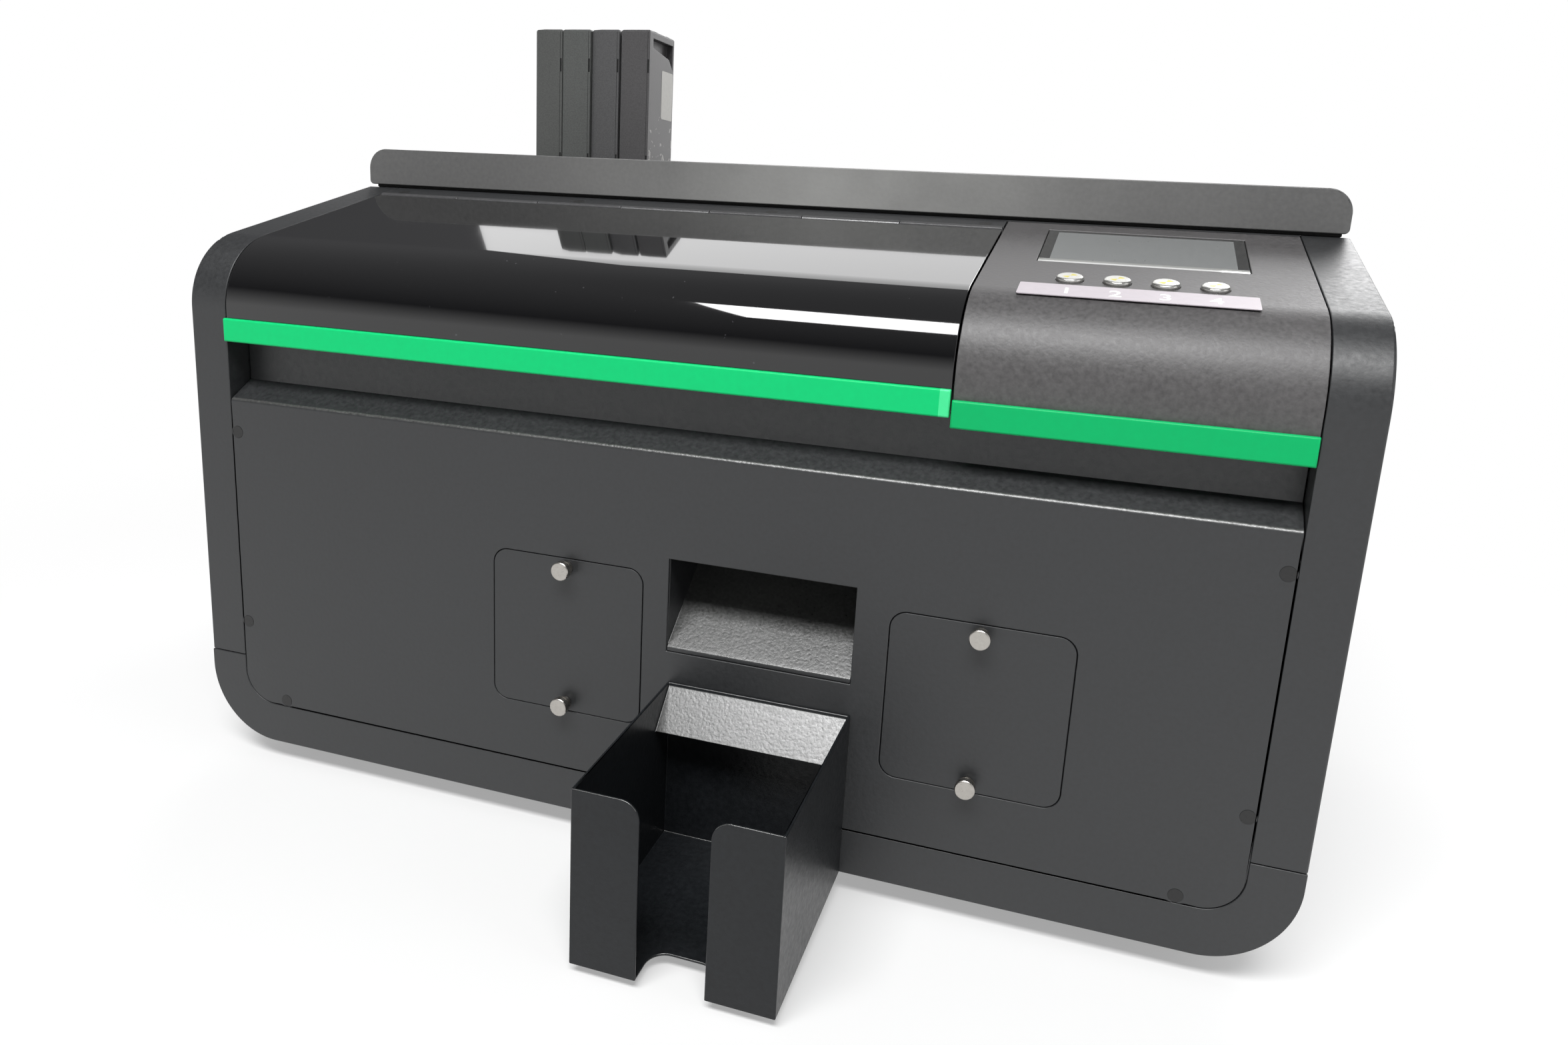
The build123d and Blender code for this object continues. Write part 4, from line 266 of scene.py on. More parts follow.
def grained(name, colour, roughness, grain=1500, contrast=0.8, relief=0.06, metallic=0, specular=0.5):
    """Finish with the grain in its colour, its roughness and its relief, in millimetres."""
    paint = bpy.data.materials.new(name)
    paint.use_nodes = True
    tree = paint.node_tree
    shader = tree.nodes["Principled BSDF"]
    shader.inputs["Metallic"].default_value = metallic
    shader.inputs["Specular IOR Level"].default_value = specular
    effect = add_node(
        tree, "ShaderNodeGroup",
        {"Colour": (*colour, 1), "Grain per metre": grain, "Contrast": contrast, "Roughness": roughness},
        name="grain", node_tree=fine_grain,
    )
    bump = add_node(tree, "ShaderNodeBump", {"Distance": relief * MM}, name="relief")
    link_nodes(
        tree,
        (effect, "Colour", shader, "Base Color"),
        (effect, "Roughness", shader, "Roughness"),
        (effect, "Height", bump, "Height"),
        (bump, "Normal", shader, "Normal"),
    )
    return paint


def settle(shape, name, paints, body, replaced=(), crease=35):
    """Turns a bmesh into a finished piece that rides on its body."""
    bmesh.ops.recalc_face_normals(shape, faces=shape.faces)
    data = bpy.data.meshes.new(name)
    shape.to_mesh(data)
    shape.free()
    for polygon in data.polygons:
        polygon.use_smooth = True
    data.set_sharp_from_angle(angle=radians(crease))
    for paint in paints:
        data.materials.append(paint)
    piece = bpy.data.objects.new(name, data)
    bpy.context.scene.collection.objects.link(piece)
    weighted = piece.modifiers.new("even_normals", "WEIGHTED_NORMAL")
    weighted.keep_sharp = True
    if replaced:
        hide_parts(*replaced)
    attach(piece, body)
    return piece


SAME_POINT = 0.002 * MM
FLAT = radians(0.3)


def copied(node):
    """A CAD node's surface as a bmesh, with its doubles merged and its flat triangles paired."""
    shape = bmesh.new()
    shape.from_mesh(nodes[node].data)
    bmesh.ops.remove_doubles(shape, verts=shape.verts, dist=SAME_POINT)
    bmesh.ops.join_triangles(shape, faces=shape.faces, angle_face_threshold=FLAT,
                             angle_shape_threshold=pi)
    return shape


ARC_ERROR = 0.03 * MM
ARC_MARGIN = 0.1 * MM
FINEST_FACET, COARSEST_FACET = 0.015, 0.35
MIDDLE_ERROR = 0.02 * MM


def true_arc(shape, axis, centre, inner, outer, rounds=2):
    """Subdivides the facets of a bend about an axis, and puts the new points on its true radius."""
    first, second = [number for number in range(3) if number != axis]

    def reach(point):
        return hypot(point.co[first] - centre[0], point.co[second] - centre[1])

    for step in range(rounds):
        bent = []
        for edge in shape.edges:
            start, end = edge.verts
            chord = hypot(start.co[first] - end.co[first], start.co[second] - end.co[second])
            radius = reach(start)
            if (abs(radius - reach(end)) < ARC_ERROR
                    and inner - ARC_MARGIN < radius < outer + ARC_MARGIN
                    and FINEST_FACET < chord / radius < COARSEST_FACET):
                bent.append((edge, radius, (start.co + end.co) / 2))
        if not bent:
            return
        middles = kdtree.KDTree(len(bent))
        for number, (edge, radius, middle) in enumerate(bent):
            middles.insert(middle, number)
        middles.balance()
        made = bmesh.ops.subdivide_edges(shape, edges=[edge for edge, radius, middle in bent], cuts=1,
                                         use_grid_fill=True)["geom_inner"]
        for point in made:
            if isinstance(point, bmesh.types.BMVert):
                place, number, gap = middles.find(point.co)
                if gap < MIDDLE_ERROR:
                    grown = bent[number][1] / reach(point)
                    point.co[first] = centre[0] + (point.co[first] - centre[0]) * grown
                    point.co[second] = centre[1] + (point.co[second] - centre[1]) * grown


def round_edges(shape, radius, keep=lambda edge: True, segments=2, angle=40):
    """Rounds the edges that stand out sharper than an angle."""
    sharp = [edge for edge in shape.edges
             if len(edge.link_faces) == 2 and edge.calc_face_angle(0) > radians(angle) and keep(edge)]
    bmesh.ops.bevel(shape, geom=sharp, offset=radius * MM, offset_type="OFFSET", segments=segments,
                    profile=0.5, affect="EDGES", material=-1, clamp_overlap=False)


def dress(node, paints, radius, arcs=(), segments=2, mark=None, angle=40, folds=()):
    """Stands in for a CAD node with the same shape: folds and edges rounded, then arcs made true.

    A mark gives each face its paint from the face's middle and its normal.
    """
    shape = copied(node)
    for fold_radius, at_fold in folds:
        round_edges(shape, fold_radius, at_fold, 5, angle)
    round_edges(shape, radius, segments=segments, angle=angle)
    for arc in arcs:
        true_arc(shape, *arc)
    if mark:
        shape.normal_update()
        for side in shape.faces:
            side.material_index = int(mark(side.calc_center_median(), side.normal))
    return settle(shape, node + "_finished", paints, body_of[node], [node])


black_coat = grained("black_powder_coat", (0.0185, 0.0197, 0.0213), 0.46, grain=450, contrast=0.9,
                     relief=0.08, specular=0.7)
tray_low, tray_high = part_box("base_tray")
BORDER = 22.5 * MM
PANEL_CORNER = 18 * MM
corner = BORDER + PANEL_CORNER
rolled = [(1, (side * (tray_high.x - corner), tray_low.z + corner), PANEL_CORNER, corner)
          for side in (-1, 1)]
dress("base_tray", [black_coat], 0.5, rolled)

# ---- Feet ----
# Four moulded rubber feet, matt black and slightly tapered. Each is screwed up into the tray near
# one of its corners.
foot_rubber = grained("foot_rubber", (0.02, 0.02, 0.02), 0.8, grain=900, contrast=0.5, relief=0.05)
dress("rubber_feet", [foot_rubber], 1.2, segments=3)


# ---- Side frames and top plate ----
# Zinc-plated steel plates stand inside the cheeks, and the card magazine, the track and the guide
# rail are of the same plate. A coated plate lies over the frames and carries the hood.
def carried(paint, *names):
    """Gives CAD nodes whose shape is right their finish."""
    for name in names:
        nodes[name].data.materials.clear()
        nodes[name].data.materials.append(paint)


zinc_plate = grained("zinc_plate", (0.42, 0.43, 0.44), 0.38, grain=260, contrast=0.5, relief=0.01,
                     metallic=0.85)
carried(zinc_plate, "right_frame", "left_frame", "card_magazine", "card_track", "guide_rail")
carried(black_coat, "top_plate")

# ---- Card feed: rollers, ribbed belt and motor ----
# Ground steel shafts carry black rubber sleeves. A ribbed rubber belt turns them from a stepping
# motor, whose laminated black body sits between two alloy end caps.
ground_steel = grained("ground_steel", (0.55, 0.55, 0.56), 0.24, grain=700, contrast=0.3, relief=0.004,
                       metallic=1)
sleeve_rubber = grained("sleeve_rubber", (0.035, 0.035, 0.036), 0.7, grain=900, contrast=0.6, relief=0.03)
plain_alloy = grained("plain_alloy", (0.50, 0.50, 0.51), 0.34, grain=500, contrast=0.4, relief=0.008,
                      metallic=1)
laminations = grained("laminations", (0.03, 0.03, 0.032), 0.5, grain=500, contrast=0.6, relief=0.02)
BELT_RUBBER = (0.03, 0.03, 0.03)
SHAFT_RADIUS = 2 * MM
SLEEVE_INSIDE = 3.4 * MM
SLEEVE_RADIUS = 8 * MM
END_CAP = 7 * MM
BELT_PITCH = 2
BELT_TOOTH = 0.4


def waves_to_scale(pitch):
    """Scale of a wave texture that gives one wave to a pitch in millimetres."""
    return pi / (10 * pitch * MM)


def carve(paint, texture, depth):
    """Adds a texture's height to a finish, on top of the grain that it has."""
    tree = paint.node_tree
    carved = add_node(tree, "ShaderNodeBump", {"Distance": depth * MM})
    link_nodes(
        tree,
        (texture, "Fac", carved, "Height"),
        (tree.nodes["relief"], "Normal", carved, "Normal"),
        (carved, "Normal", tree.nodes["Principled BSDF"], "Normal"),
    )


def ribbed(name, direction):
    """Belt rubber with even ribs across one direction."""
    paint = grained(name, BELT_RUBBER, 0.6, grain=900, relief=0.01)
    tree = paint.node_tree
    place = add_node(tree, "ShaderNodeTexCoord")
    ribs = add_node(tree, "ShaderNodeTexWave", {"Scale": waves_to_scale(BELT_PITCH)},
                    bands_direction=direction)
    link_nodes(tree, (place, "Object", ribs, "Vector"))
    carve(paint, ribs, BELT_TOOTH)
    return paint


for roller in ("exit_roller", "feed_roller", "pick_roller", "exit_pinch_roller", "feed_pinch_roller"):
    roller_low, roller_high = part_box(roller)
    middle = (roller_low + roller_high) / 2
    dress(roller, [ground_steel, sleeve_rubber], 0.3,
          [(0, (middle.y, middle.z), SHAFT_RADIUS, SLEEVE_RADIUS)],
          mark=lambda place, normal: hypot(place.y - middle.y, place.z - middle.z) > SLEEVE_INSIDE)


def cut_through(shape, place, direction):
    """Cuts the faces of a shape where a plane crosses them, and keeps both sides."""
    bmesh.ops.bisect_plane(shape, geom=shape.verts[:] + shape.edges[:] + shape.faces[:],
                           plane_co=place, plane_no=direction)


def motor(name):
    """Stepping motor whose end caps begin a little inside its two ends."""
    low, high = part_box(name)
    front_cap, rear_cap = low.y + END_CAP, high.y - END_CAP
    shape = copied(name)
    for cap in (front_cap, rear_cap):
        cut_through(shape, (0, cap, 0), (0, 1, 0))
    round_edges(shape, 0.4)
    for side in shape.faces:
        side.material_index = front_cap < side.calc_center_median().y < rear_cap
    settle(shape, name + "_finished", [plain_alloy, laminations], body_of[name], [name])


motor("feed_motor")
carried(ribbed("feed_belt_rubber", "Y"), "feed_belt")
dress("feed_motor_pulley", [plain_alloy], 0.2)

# ---- Carriage: ink-jet head on its shaft, belt and motor ----
# The moulded carriage slides on a ground shaft, and holds the head down over the card track. It
# clamps a toothed belt, which runs between two alloy pulleys.
carriage_plastic = grained("carriage_plastic", (0.04, 0.042, 0.045), 0.5, grain=700, contrast=0.7,
                           relief=0.03)
head_plastic = grained("head_plastic", (0.10, 0.10, 0.105), 0.35, grain=700, contrast=0.5, relief=0.02)
GUIDE_SHAFT = (-36.25 * MM, 206.5 * MM)
GUIDE_RADII = (4 * MM, 5 * MM)
dress("carriage", [carriage_plastic], 0.8)
dress("printhead", [head_plastic], 0.6)
dress("guide_shaft", [ground_steel], 0.3, [(0, GUIDE_SHAFT, *GUIDE_RADII)])
carried(ribbed("carriage_belt_rubber", "X"), "carriage_belt")
for wheel in ("carriage_motor_pulley", "carriage_idler_pulley"):
    dress(wheel, [plain_alloy], 0.2)
motor("carriage_motor")

# ---- Capping station, power supply and main board ----
# The head parks on a moulded cap. The supply is a perforated alloy case, and the board is green
# laminate with a black chip, capacitors and an alloy heat sink.
dress("capping_station", [carriage_plastic], 0.6)
HOLE_PITCH = 6
HOLE_RADIUS, HOLE_EDGE = 0.30, 0.34


def overlay(paint, mask, output, colour):
    """Lays another colour over a finish, as far as a mask from 0 to 1 says."""
    tree = paint.node_tree
    over = add_node(tree, "ShaderNodeMix", {"B": (*colour, 1)}, data_type="RGBA")
    link_nodes(
        tree,
        (mask, output, over, "Factor"),
        (tree.nodes["grain"], "Colour", over, "A"),
        (over, "Result", tree.nodes["Principled BSDF"], "Base Color"),
    )


def perforated(name, colour):
    """Bare alloy with rows of round holes painted over it as dark discs of painted shade. A hole's radius is
    a share of the pitch.
    """
    paint = grained(name, colour, 0.36, grain=400, contrast=0.4, relief=0.01, metallic=0.9)
    tree = paint.node_tree
    place = add_node(tree, "ShaderNodeTexCoord")
    holes = add_node(tree, "ShaderNodeTexVoronoi", {"Scale": 1 / (HOLE_PITCH * MM), "Randomness": 0})
    edge = add_node(tree, "ShaderNodeMapRange",
                    {"From Min": HOLE_RADIUS, "From Max": HOLE_EDGE, "To Min": 1, "To Max": 0})
    link_nodes(tree, (place, "Object", holes, "Vector"), (holes, "Distance", edge, "Value"))
    # Each hole is a dark disc of painted shade.
    overlay(paint, edge, "Result", (0.01, 0.01, 0.01))
    return paint


dress("power_supply", [perforated("supply_case", (0.45, 0.46, 0.47))], 0.8)
board_green = grained("board_green", (0.01, 0.09, 0.035), 0.35, grain=160, contrast=1.2, relief=0.02)
BOARD_TOP = 21.7 * MM
dress("main_board", [board_green, plain_alloy], 0.2, mark=lambda place, normal: place.z > BOARD_TOP)
carried(board_green, "console_boards")
chip_black = grained("chip_black", (0.015, 0.015, 0.016), 0.4, grain=900, contrast=0.5, relief=0.02)
CHIP_SUNK = 0.1
CHIPS = ((-105, 100, 22, 22, 2.4), (-180, 110, 14, 20, 2.0), (-95, 150, 12, 26, 8),
         (-195, 190, 16, 16, 2.0), (-100, 195, 10, 30, 9), (-180, 84, 40, 5, 7))
chips = bmesh.new()
for x, y, width, depth, height in CHIPS:
    cube = bmesh.ops.create_cube(chips, size=1)["verts"]
    bmesh.ops.scale(chips, vec=Vector((width, depth, height)) * MM, verts=cube)
    bmesh.ops.translate(chips, vec=(x * MM, y * MM, BOARD_TOP + (height / 2 - CHIP_SUNK) * MM), verts=cube)
round_edges(chips, 0.3, segments=1)
settle(chips, "board_chips", [chip_black], "root")

# ---- Front panel, hand recess and access doors ----
# A flat steel plate, bent back at its top edge as the shelf of the hand recess, with an upright wall
# behind it. Two loose doors lie flush in it on their seats.
PANEL_FACE = -124.25 * MM
PANEL_FOLD = 205.5 * MM
OPENING_SILL = 110.2 * MM
HEIGHT_ERROR = 0.15 * MM
FACE_ERROR = 0.05 * MM
FACES_FORWARD = -0.56
FACES_UP = 0.4


def along_face(height):
    """Test for the edges of the panel's face that run across at a height."""
    return lambda edge: all(abs(end.co.z - height) < HEIGHT_ERROR and abs(end.co.y - PANEL_FACE) < FACE_ERROR
                            for end in edge.verts)


def worn_slope(place, normal):
    """Whether a face slopes down to the front and up to the light, where its coat is painted paler as painted
    sheen.
    """
    return normal.y < FACES_FORWARD and normal.z > FACES_UP


# A paler copy of the coat, painted sheen, which is also smoother and shinier, for the slopes that face up to
# the front.
lit_slope_coat = grained("lit_slope_coat", (0.058, 0.059, 0.057), 0.33, grain=680, contrast=1.7, relief=0.105,
                    specular=1.0)
dress("front_panel", [black_coat, lit_slope_coat], 0.4, mark=worn_slope,
      folds=((1.6, along_face(PANEL_FOLD)), (1.1, along_face(OPENING_SILL))))
dress("recess_wall", [black_coat], 0.4)
for door in ("access_door_left", "access_door_right"):
    dress(door, [black_coat], 0.3)


# ---- Thumbscrews ----
# Four turned stainless thumbscrews hold the doors. The head is a smooth disc with rings from the
# lathe on its face. A groove and a collar part it from the neck.
def turned(shape, profile, centre):
    """Spins a profile round an axis from front to back: pairs of a depth and a radius in millimetres."""
    points = [shape.verts.new(Vector(centre) + Vector((0, depth, radius)) * MM)
              for depth, radius in profile]
    edges = [shape.edges.new(pair) for pair in zip(points, points[1:])]
    bmesh.ops.spin(shape, geom=points + edges, cent=centre, axis=(0, 1, 0), dvec=(0, 0, 0), angle=2 * pi,
                   steps=64, use_merge=True)
    bmesh.ops.remove_doubles(shape, verts=shape.verts, dist=1e-7)


RING_DEPTH = 0.006


def lathe_rings(name, colour, centre, tilt, ring):
    """Steel with the fine rings of a lathe round a centre, on a face tilted about X."""
    paint = grained(name, colour, 0.3, grain=500, contrast=0.35, relief=0.004, metallic=1)
    tree = paint.node_tree
    place = add_node(tree, "ShaderNodeTexCoord")
    moved = add_node(tree, "ShaderNodeMapping", {"Location": centre, "Rotation": (tilt, 0, 0)},
                     name="centred", vector_type="TEXTURE")
    rings = add_node(tree, "ShaderNodeTexWave", {"Scale": waves_to_scale(ring), "Distortion": 0.6},
                     wave_type="RINGS", rings_direction="Z")
    link_nodes(tree, (place, "Object", moved, "Vector"), (moved, "Vector", rings, "Vector"))
    carve(paint, rings, RING_DEPTH)
    return paint


HEAD_PROFILE = ((0, 0), (0, 4.1), (0.08, 4.3), (0.45, 4.6), (3.3, 4.6), (3.6, 4.35), (3.7, 3.9), (4.2, 3.9),
                (4.3, 4.3), (4.6, 4.3), (4.6, 3.2), (7.6, 3.2), (7.8, 2), (16.3, 2), (16.7, 1.6), (16.7, 0))
for screw_place in ("left_top", "left_bottom", "right_top", "right_bottom"):
    screw_name = f"thumbscrew_{screw_place}"
    low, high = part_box(screw_name)
    centre = ((low.x + high.x) / 2, low.y, (low.z + high.z) / 2)
    screw = bmesh.new()
    turned(screw, HEAD_PROFILE, centre)
    steel = lathe_rings(f"thumb_steel_{screw_place}", (0.45, 0.43, 0.40), centre, tilt=pi / 2, ring=0.25)
    settle(screw, screw_name + "_finished", [steel], screw_name, [screw_name])

# ---- Output chute and card bin ----
# A folded sheet trough drops each card into an open bin, which hangs on the panel by two hooks and
# has a finger notch between its front flanges. The slopes that face up to the front are painted paler, as
# painted sheen.
# The bin's coat is a darker copy of the black coat, as painted shade on its front flanges.
bin_shaded_coat = grained("bin_shaded_coat", (0.0095, 0.0108, 0.0125), 0.36, grain=450, contrast=1.0, relief=0.10,
                     specular=0.36)
dress("output_chute", [black_coat, lit_slope_coat], 0.5, mark=worn_slope)
dress("card_bin", [bin_shaded_coat, lit_slope_coat], 0.5, segments=3, mark=worn_slope)

# ---- Cheeks ----
# Two folded steel side covers in the tray's coat. Each is rolled over the nose and slopes up to the
# hood, with a soft outer edge.
NOSE_MIDDLE = (-84.25 * MM, 252.07 * MM)
NOSE_RADIUS = 40 * MM
ROUNDED_INSIDE = 0.1


def nose(thickness):
    """Arc of the case's nose in a sheet of a thickness in millimetres, with its rounded inner edge."""
    return (0, NOSE_MIDDLE, NOSE_RADIUS - (thickness + ROUNDED_INSIDE) * MM, NOSE_RADIUS)


for cheek in ("left_cheek", "right_cheek"):
    dress(cheek, [black_coat], 0.5, [nose(2)], angle=50)

# ---- Lid, its pull strip and its hinge ----
# The lid is bent from thick black acrylic, polished like a mirror. A green moulded strip runs along
# its front edge and returns at the right end. A coated piano hinge joins it to the hinge strip.
DUST_COLOUR = (0.06, 0.06, 0.065, 1)
CLEANEST_ROUGHNESS = 0.03


def polished(name, colour, smears):
    """Mirror finish with faint smears in its roughness and dust in its colour."""
    paint = bpy.data.materials.new(name)
    paint.use_nodes = True
    tree = paint.node_tree
    shader = tree.nodes["Principled BSDF"]
    shader.inputs["Specular IOR Level"].default_value = 0.5
    shader.inputs["Coat Weight"].default_value = 0.6
    shader.inputs["Coat Roughness"].default_value = 0.02
    shader.inputs["Coat IOR"].default_value = 1.5
    place = add_node(tree, "ShaderNodeTexCoord")
    cloud = add_node(tree, "ShaderNodeTexNoise", {"Scale": 9, "Detail": 6})
    rough = add_node(tree, "ShaderNodeMapRange",
                     {"From Min": 0.35, "From Max": 0.8, "To Min": CLEANEST_ROUGHNESS, "To Max": smears})
    specks = add_node(tree, "ShaderNodeTexNoise", {"Scale": 420, "Detail": 1})
    dusty = add_node(tree, "ShaderNodeMapRange", {"From Min": 0.77, "From Max": 0.83})
    tint = add_node(tree, "ShaderNodeMix", {"A": (*colour, 1), "B": DUST_COLOUR}, data_type="RGBA")
    link_nodes(
        tree,
        (place, "Object", cloud, "Vector"),
        (place, "Object", specks, "Vector"),
        (cloud, "Fac", rough, "Value"),
        (rough, "Result", shader, "Roughness"),
        (specks, "Fac", dusty, "Value"),
        (dusty, "Result", tint, "Factor"),
        (tint, "Result", shader, "Base Color"),
    )
    return paint


lid_gloss = polished("lid_gloss", (0.004, 0.004, 0.0045), 0.09)
hinge_coat = grained("hinge_coat", (0.05, 0.05, 0.052), 0.34, grain=700, contrast=0.6, relief=0.03,
                     specular=1.0)
HINGE_AXIS = Vector((3.95, 314.47)) * MM
KNUCKLE_REACH = 3.1 * MM


def at_hinge(place, normal):
    """Whether a place is on the knuckles of the hinge."""
    return (Vector(place.yz) - HINGE_AXIS).length < KNUCKLE_REACH


dress("lid", [lid_gloss, hinge_coat], 0.5, [nose(3)], angle=50, mark=at_hinge)
green_strip = grained("green_strip", (0.003, 0.66, 0.20), 0.42, grain=300, contrast=0.10, relief=0.01,
                      specular=0.25)
# The return's paler green is a painted highlight, where the strip's end turns to the light.
green_return_highlight = grained("green_return_highlight", (0.06, 0.86, 0.33), 0.38, grain=300, contrast=0.10, relief=0.01)
RETURN_START, RETURN_END = 113.9 * MM, 118.4 * MM
RETURN_FALL = 1.1 * MM
STRIP_FACE = -127.05 * MM
EDGE_ERROR = 0.1 * MM
strip = copied("lid_pull_strip")
cut_through(strip, (RETURN_START, 0, 0), (1, 0, 0))
for point in strip.verts:
    if point.co.x > RETURN_END - EDGE_ERROR and point.co.y < STRIP_FACE + EDGE_ERROR:
        point.co.y += RETURN_FALL
round_edges(strip, 0.4, segments=3)
for side in strip.faces:
    side.material_index = int(side.calc_center_median().x > RETURN_START)
settle(strip, "lid_pull_strip_finished", [green_strip, green_return_highlight], body_of["lid_pull_strip"],
       ["lid_pull_strip"], crease=10)
dress("hinge_strip", [black_coat, hinge_coat], 0.2, mark=at_hinge)

# ---- Casing screws ----
# Countersunk steel screws with a hexagon socket, blacked in an oxide bath. They are alike all over
# the casing, and their heads lie in chamfered holes.
screw_black = grained("screw_black", (0.03, 0.03, 0.03), 0.33, grain=900, contrast=0.4, relief=0.01,
                      metallic=0.4)
carried(screw_black, "casing_screws")

# ---- Console ----
# A folded cover, rolled to the same nose as the lid, with its own green strip, a screen under glass
# and four buttons whose switches sit on a green board.
# The console's coat is paler than the black coat, as painted sheen of the light on its slope.
console_coat = grained("console_coat", (0.067, 0.064, 0.065), 0.49, grain=520, contrast=1.25, relief=0.12,
                       specular=0.75)
dress("console_panel", [console_coat], 0.4, [nose(2)], angle=50)
console_green = grained("console_green", (0.0, 0.49, 0.145), 0.42, grain=300, contrast=0.10, relief=0.01,
                        specular=0.25)
dress("console_strip", [console_green], 0.4, segments=3)

# ---- Screen ----
# Flat glass, black along its two sides, with a painted reflection in pale grey along its front edge,
# over a display that is off, whose own dark grey-green is lightened by a painted reflection.
SLOPE = radians(14.4)
UPSLOPE = Vector((0, cos(SLOPE), sin(SLOPE)))
OUTWARD = Vector((0, -sin(SLOPE), cos(SLOPE)))
EDGE_LINE = Vector((0, -124.25, 283.1)) * MM


def on_slope(x, along, out=0.0):
    """Point of the sloped top, in millimetres from the line where it would meet the front plane."""
    return Vector((x * MM, 0, 0)) + EDGE_LINE + UPSLOPE * along * MM + OUTWARD * out * MM


SCREEN_X = 188.3
BLACK_SIDES = 41.4
DISPLAY_FRONT, DISPLAY_BACK = 81.6, 131.0
glass = copied("screen_glass")
for side in (-1, 1):
    cut_through(glass, on_slope(SCREEN_X + side * BLACK_SIDES, 0), (1, 0, 0))
for along in (DISPLAY_FRONT, DISPLAY_BACK):
    cut_through(glass, on_slope(0, along), UPSLOPE)
round_edges(glass, 0.25)
for side in glass.faces:
    place = side.calc_center_median()
    along = (place - EDGE_LINE).dot(UPSLOPE) / MM
    between = abs(place.x / MM - SCREEN_X) < BLACK_SIDES
    side.material_index = 2 if along < DISPLAY_FRONT else int(between and along < DISPLAY_BACK)
glass_black = polished("glass_black", (0.006, 0.006, 0.006), 0.06)
# The display's grey and the pale front margin are painted reflections on the glass.
display_painted_reflection = polished("display_painted_reflection", (0.21, 0.22, 0.22), 0.10)
glass_margin_painted_reflection = polished("glass_margin_painted_reflection", (0.31, 0.315, 0.30), 0.12)
settle(glass, "screen_glass_finished", [glass_black, display_painted_reflection, glass_margin_painted_reflection], body_of["screen_glass"],
       ["screen_glass"])

# ---- Buttons ----
# Turned stainless caps with a low dome, each in a hole of the console over its switch. Two warm
# wedges in the middle of a cap are a painted reflection, as the lathe's rings part the light.
BUTTON_X = (158.9, 179.0, 199.1, 219.2)
BUTTON_ALONG = 48.0
WEDGE_START, WEDGE_FULL = 0.12, 0.32
WEDGE_RADIUS, WEDGE_FADE = 3.6, 2.6


def wedged(name, centre):
    """Turned steel with a warm wedge of painted reflection in two opposite quarters of its middle.

    The wedge is where x times y, over the squared distance from the centre, is large.
    """
    paint = lathe_rings(name, (0.58, 0.575, 0.55), centre, tilt=SLOPE, ring=0.3)
    tree = paint.node_tree
    apart = add_node(tree, "ShaderNodeSeparateXYZ")
    product, wide, deep, near = (add_node(tree, "ShaderNodeMath", operation="MULTIPLY") for step in range(4))
    squares = add_node(tree, "ShaderNodeMath", operation="ADD")
    ratio = add_node(tree, "ShaderNodeMath", operation="DIVIDE")
    lobe = add_node(tree, "ShaderNodeMapRange", {"From Min": WEDGE_START, "From Max": WEDGE_FULL})
    inside = add_node(tree, "ShaderNodeMapRange",
                      {"From Min": (WEDGE_RADIUS * MM) ** 2, "From Max": (WEDGE_FADE * MM) ** 2})
    link_nodes(
        tree,
        (tree.nodes["centred"], "Vector", apart, "Vector"),
        (apart, "X", product, 0), (apart, "Y", product, 1),
        (apart, "X", wide, 0), (apart, "X", wide, 1),
        (apart, "Y", deep, 0), (apart, "Y", deep, 1),
        (wide, 0, squares, 0), (deep, 0, squares, 1),
        (product, 0, ratio, 0), (squares, 0, ratio, 1),
        (ratio, 0, lobe, "Value"), (squares, 0, inside, "Value"),
        (lobe, "Result", near, 0), (inside, "Result", near, 1),
    )
    # The warm wedges are painted reflection.
    overlay(paint, near, 0, (0.60, 0.52, 0.06))
    return paint


for number, button_x in enumerate(BUTTON_X, start=1):
    carried(wedged(f"button_steel_{number}", on_slope(button_x, BUTTON_ALONG)), f"button_{number}")

# ---- Label strip ----
# A thin strip of mauve film under the buttons, stuck to the console. A white number is printed on it
# for each button.
LABEL_X, LABEL_ALONG = 187.3, 30.9
LABEL_SIZE = (97.5, 16.3, 0.35)
LABEL_CORNER = 0.8
NUMERAL_HEIGHT = 8.0
NUMERAL_ALONG = 30.4
HEIGHT_OF_FONT = 0.7
INK_THICKNESS = 0.06
STROKE_GROWTH = 0.15


def round_corners(shape, axis, radius):
    """Rounds the four corner edges of a thin block, which run along its thickness."""
    corners = [edge for edge in shape.edges
               if abs(edge.verts[0].co[axis] - edge.verts[1].co[axis]) > SAME_POINT]
    bmesh.ops.bevel(shape, geom=corners, offset=radius * MM, segments=4, profile=0.5, affect="EDGES",
                    material=-1)


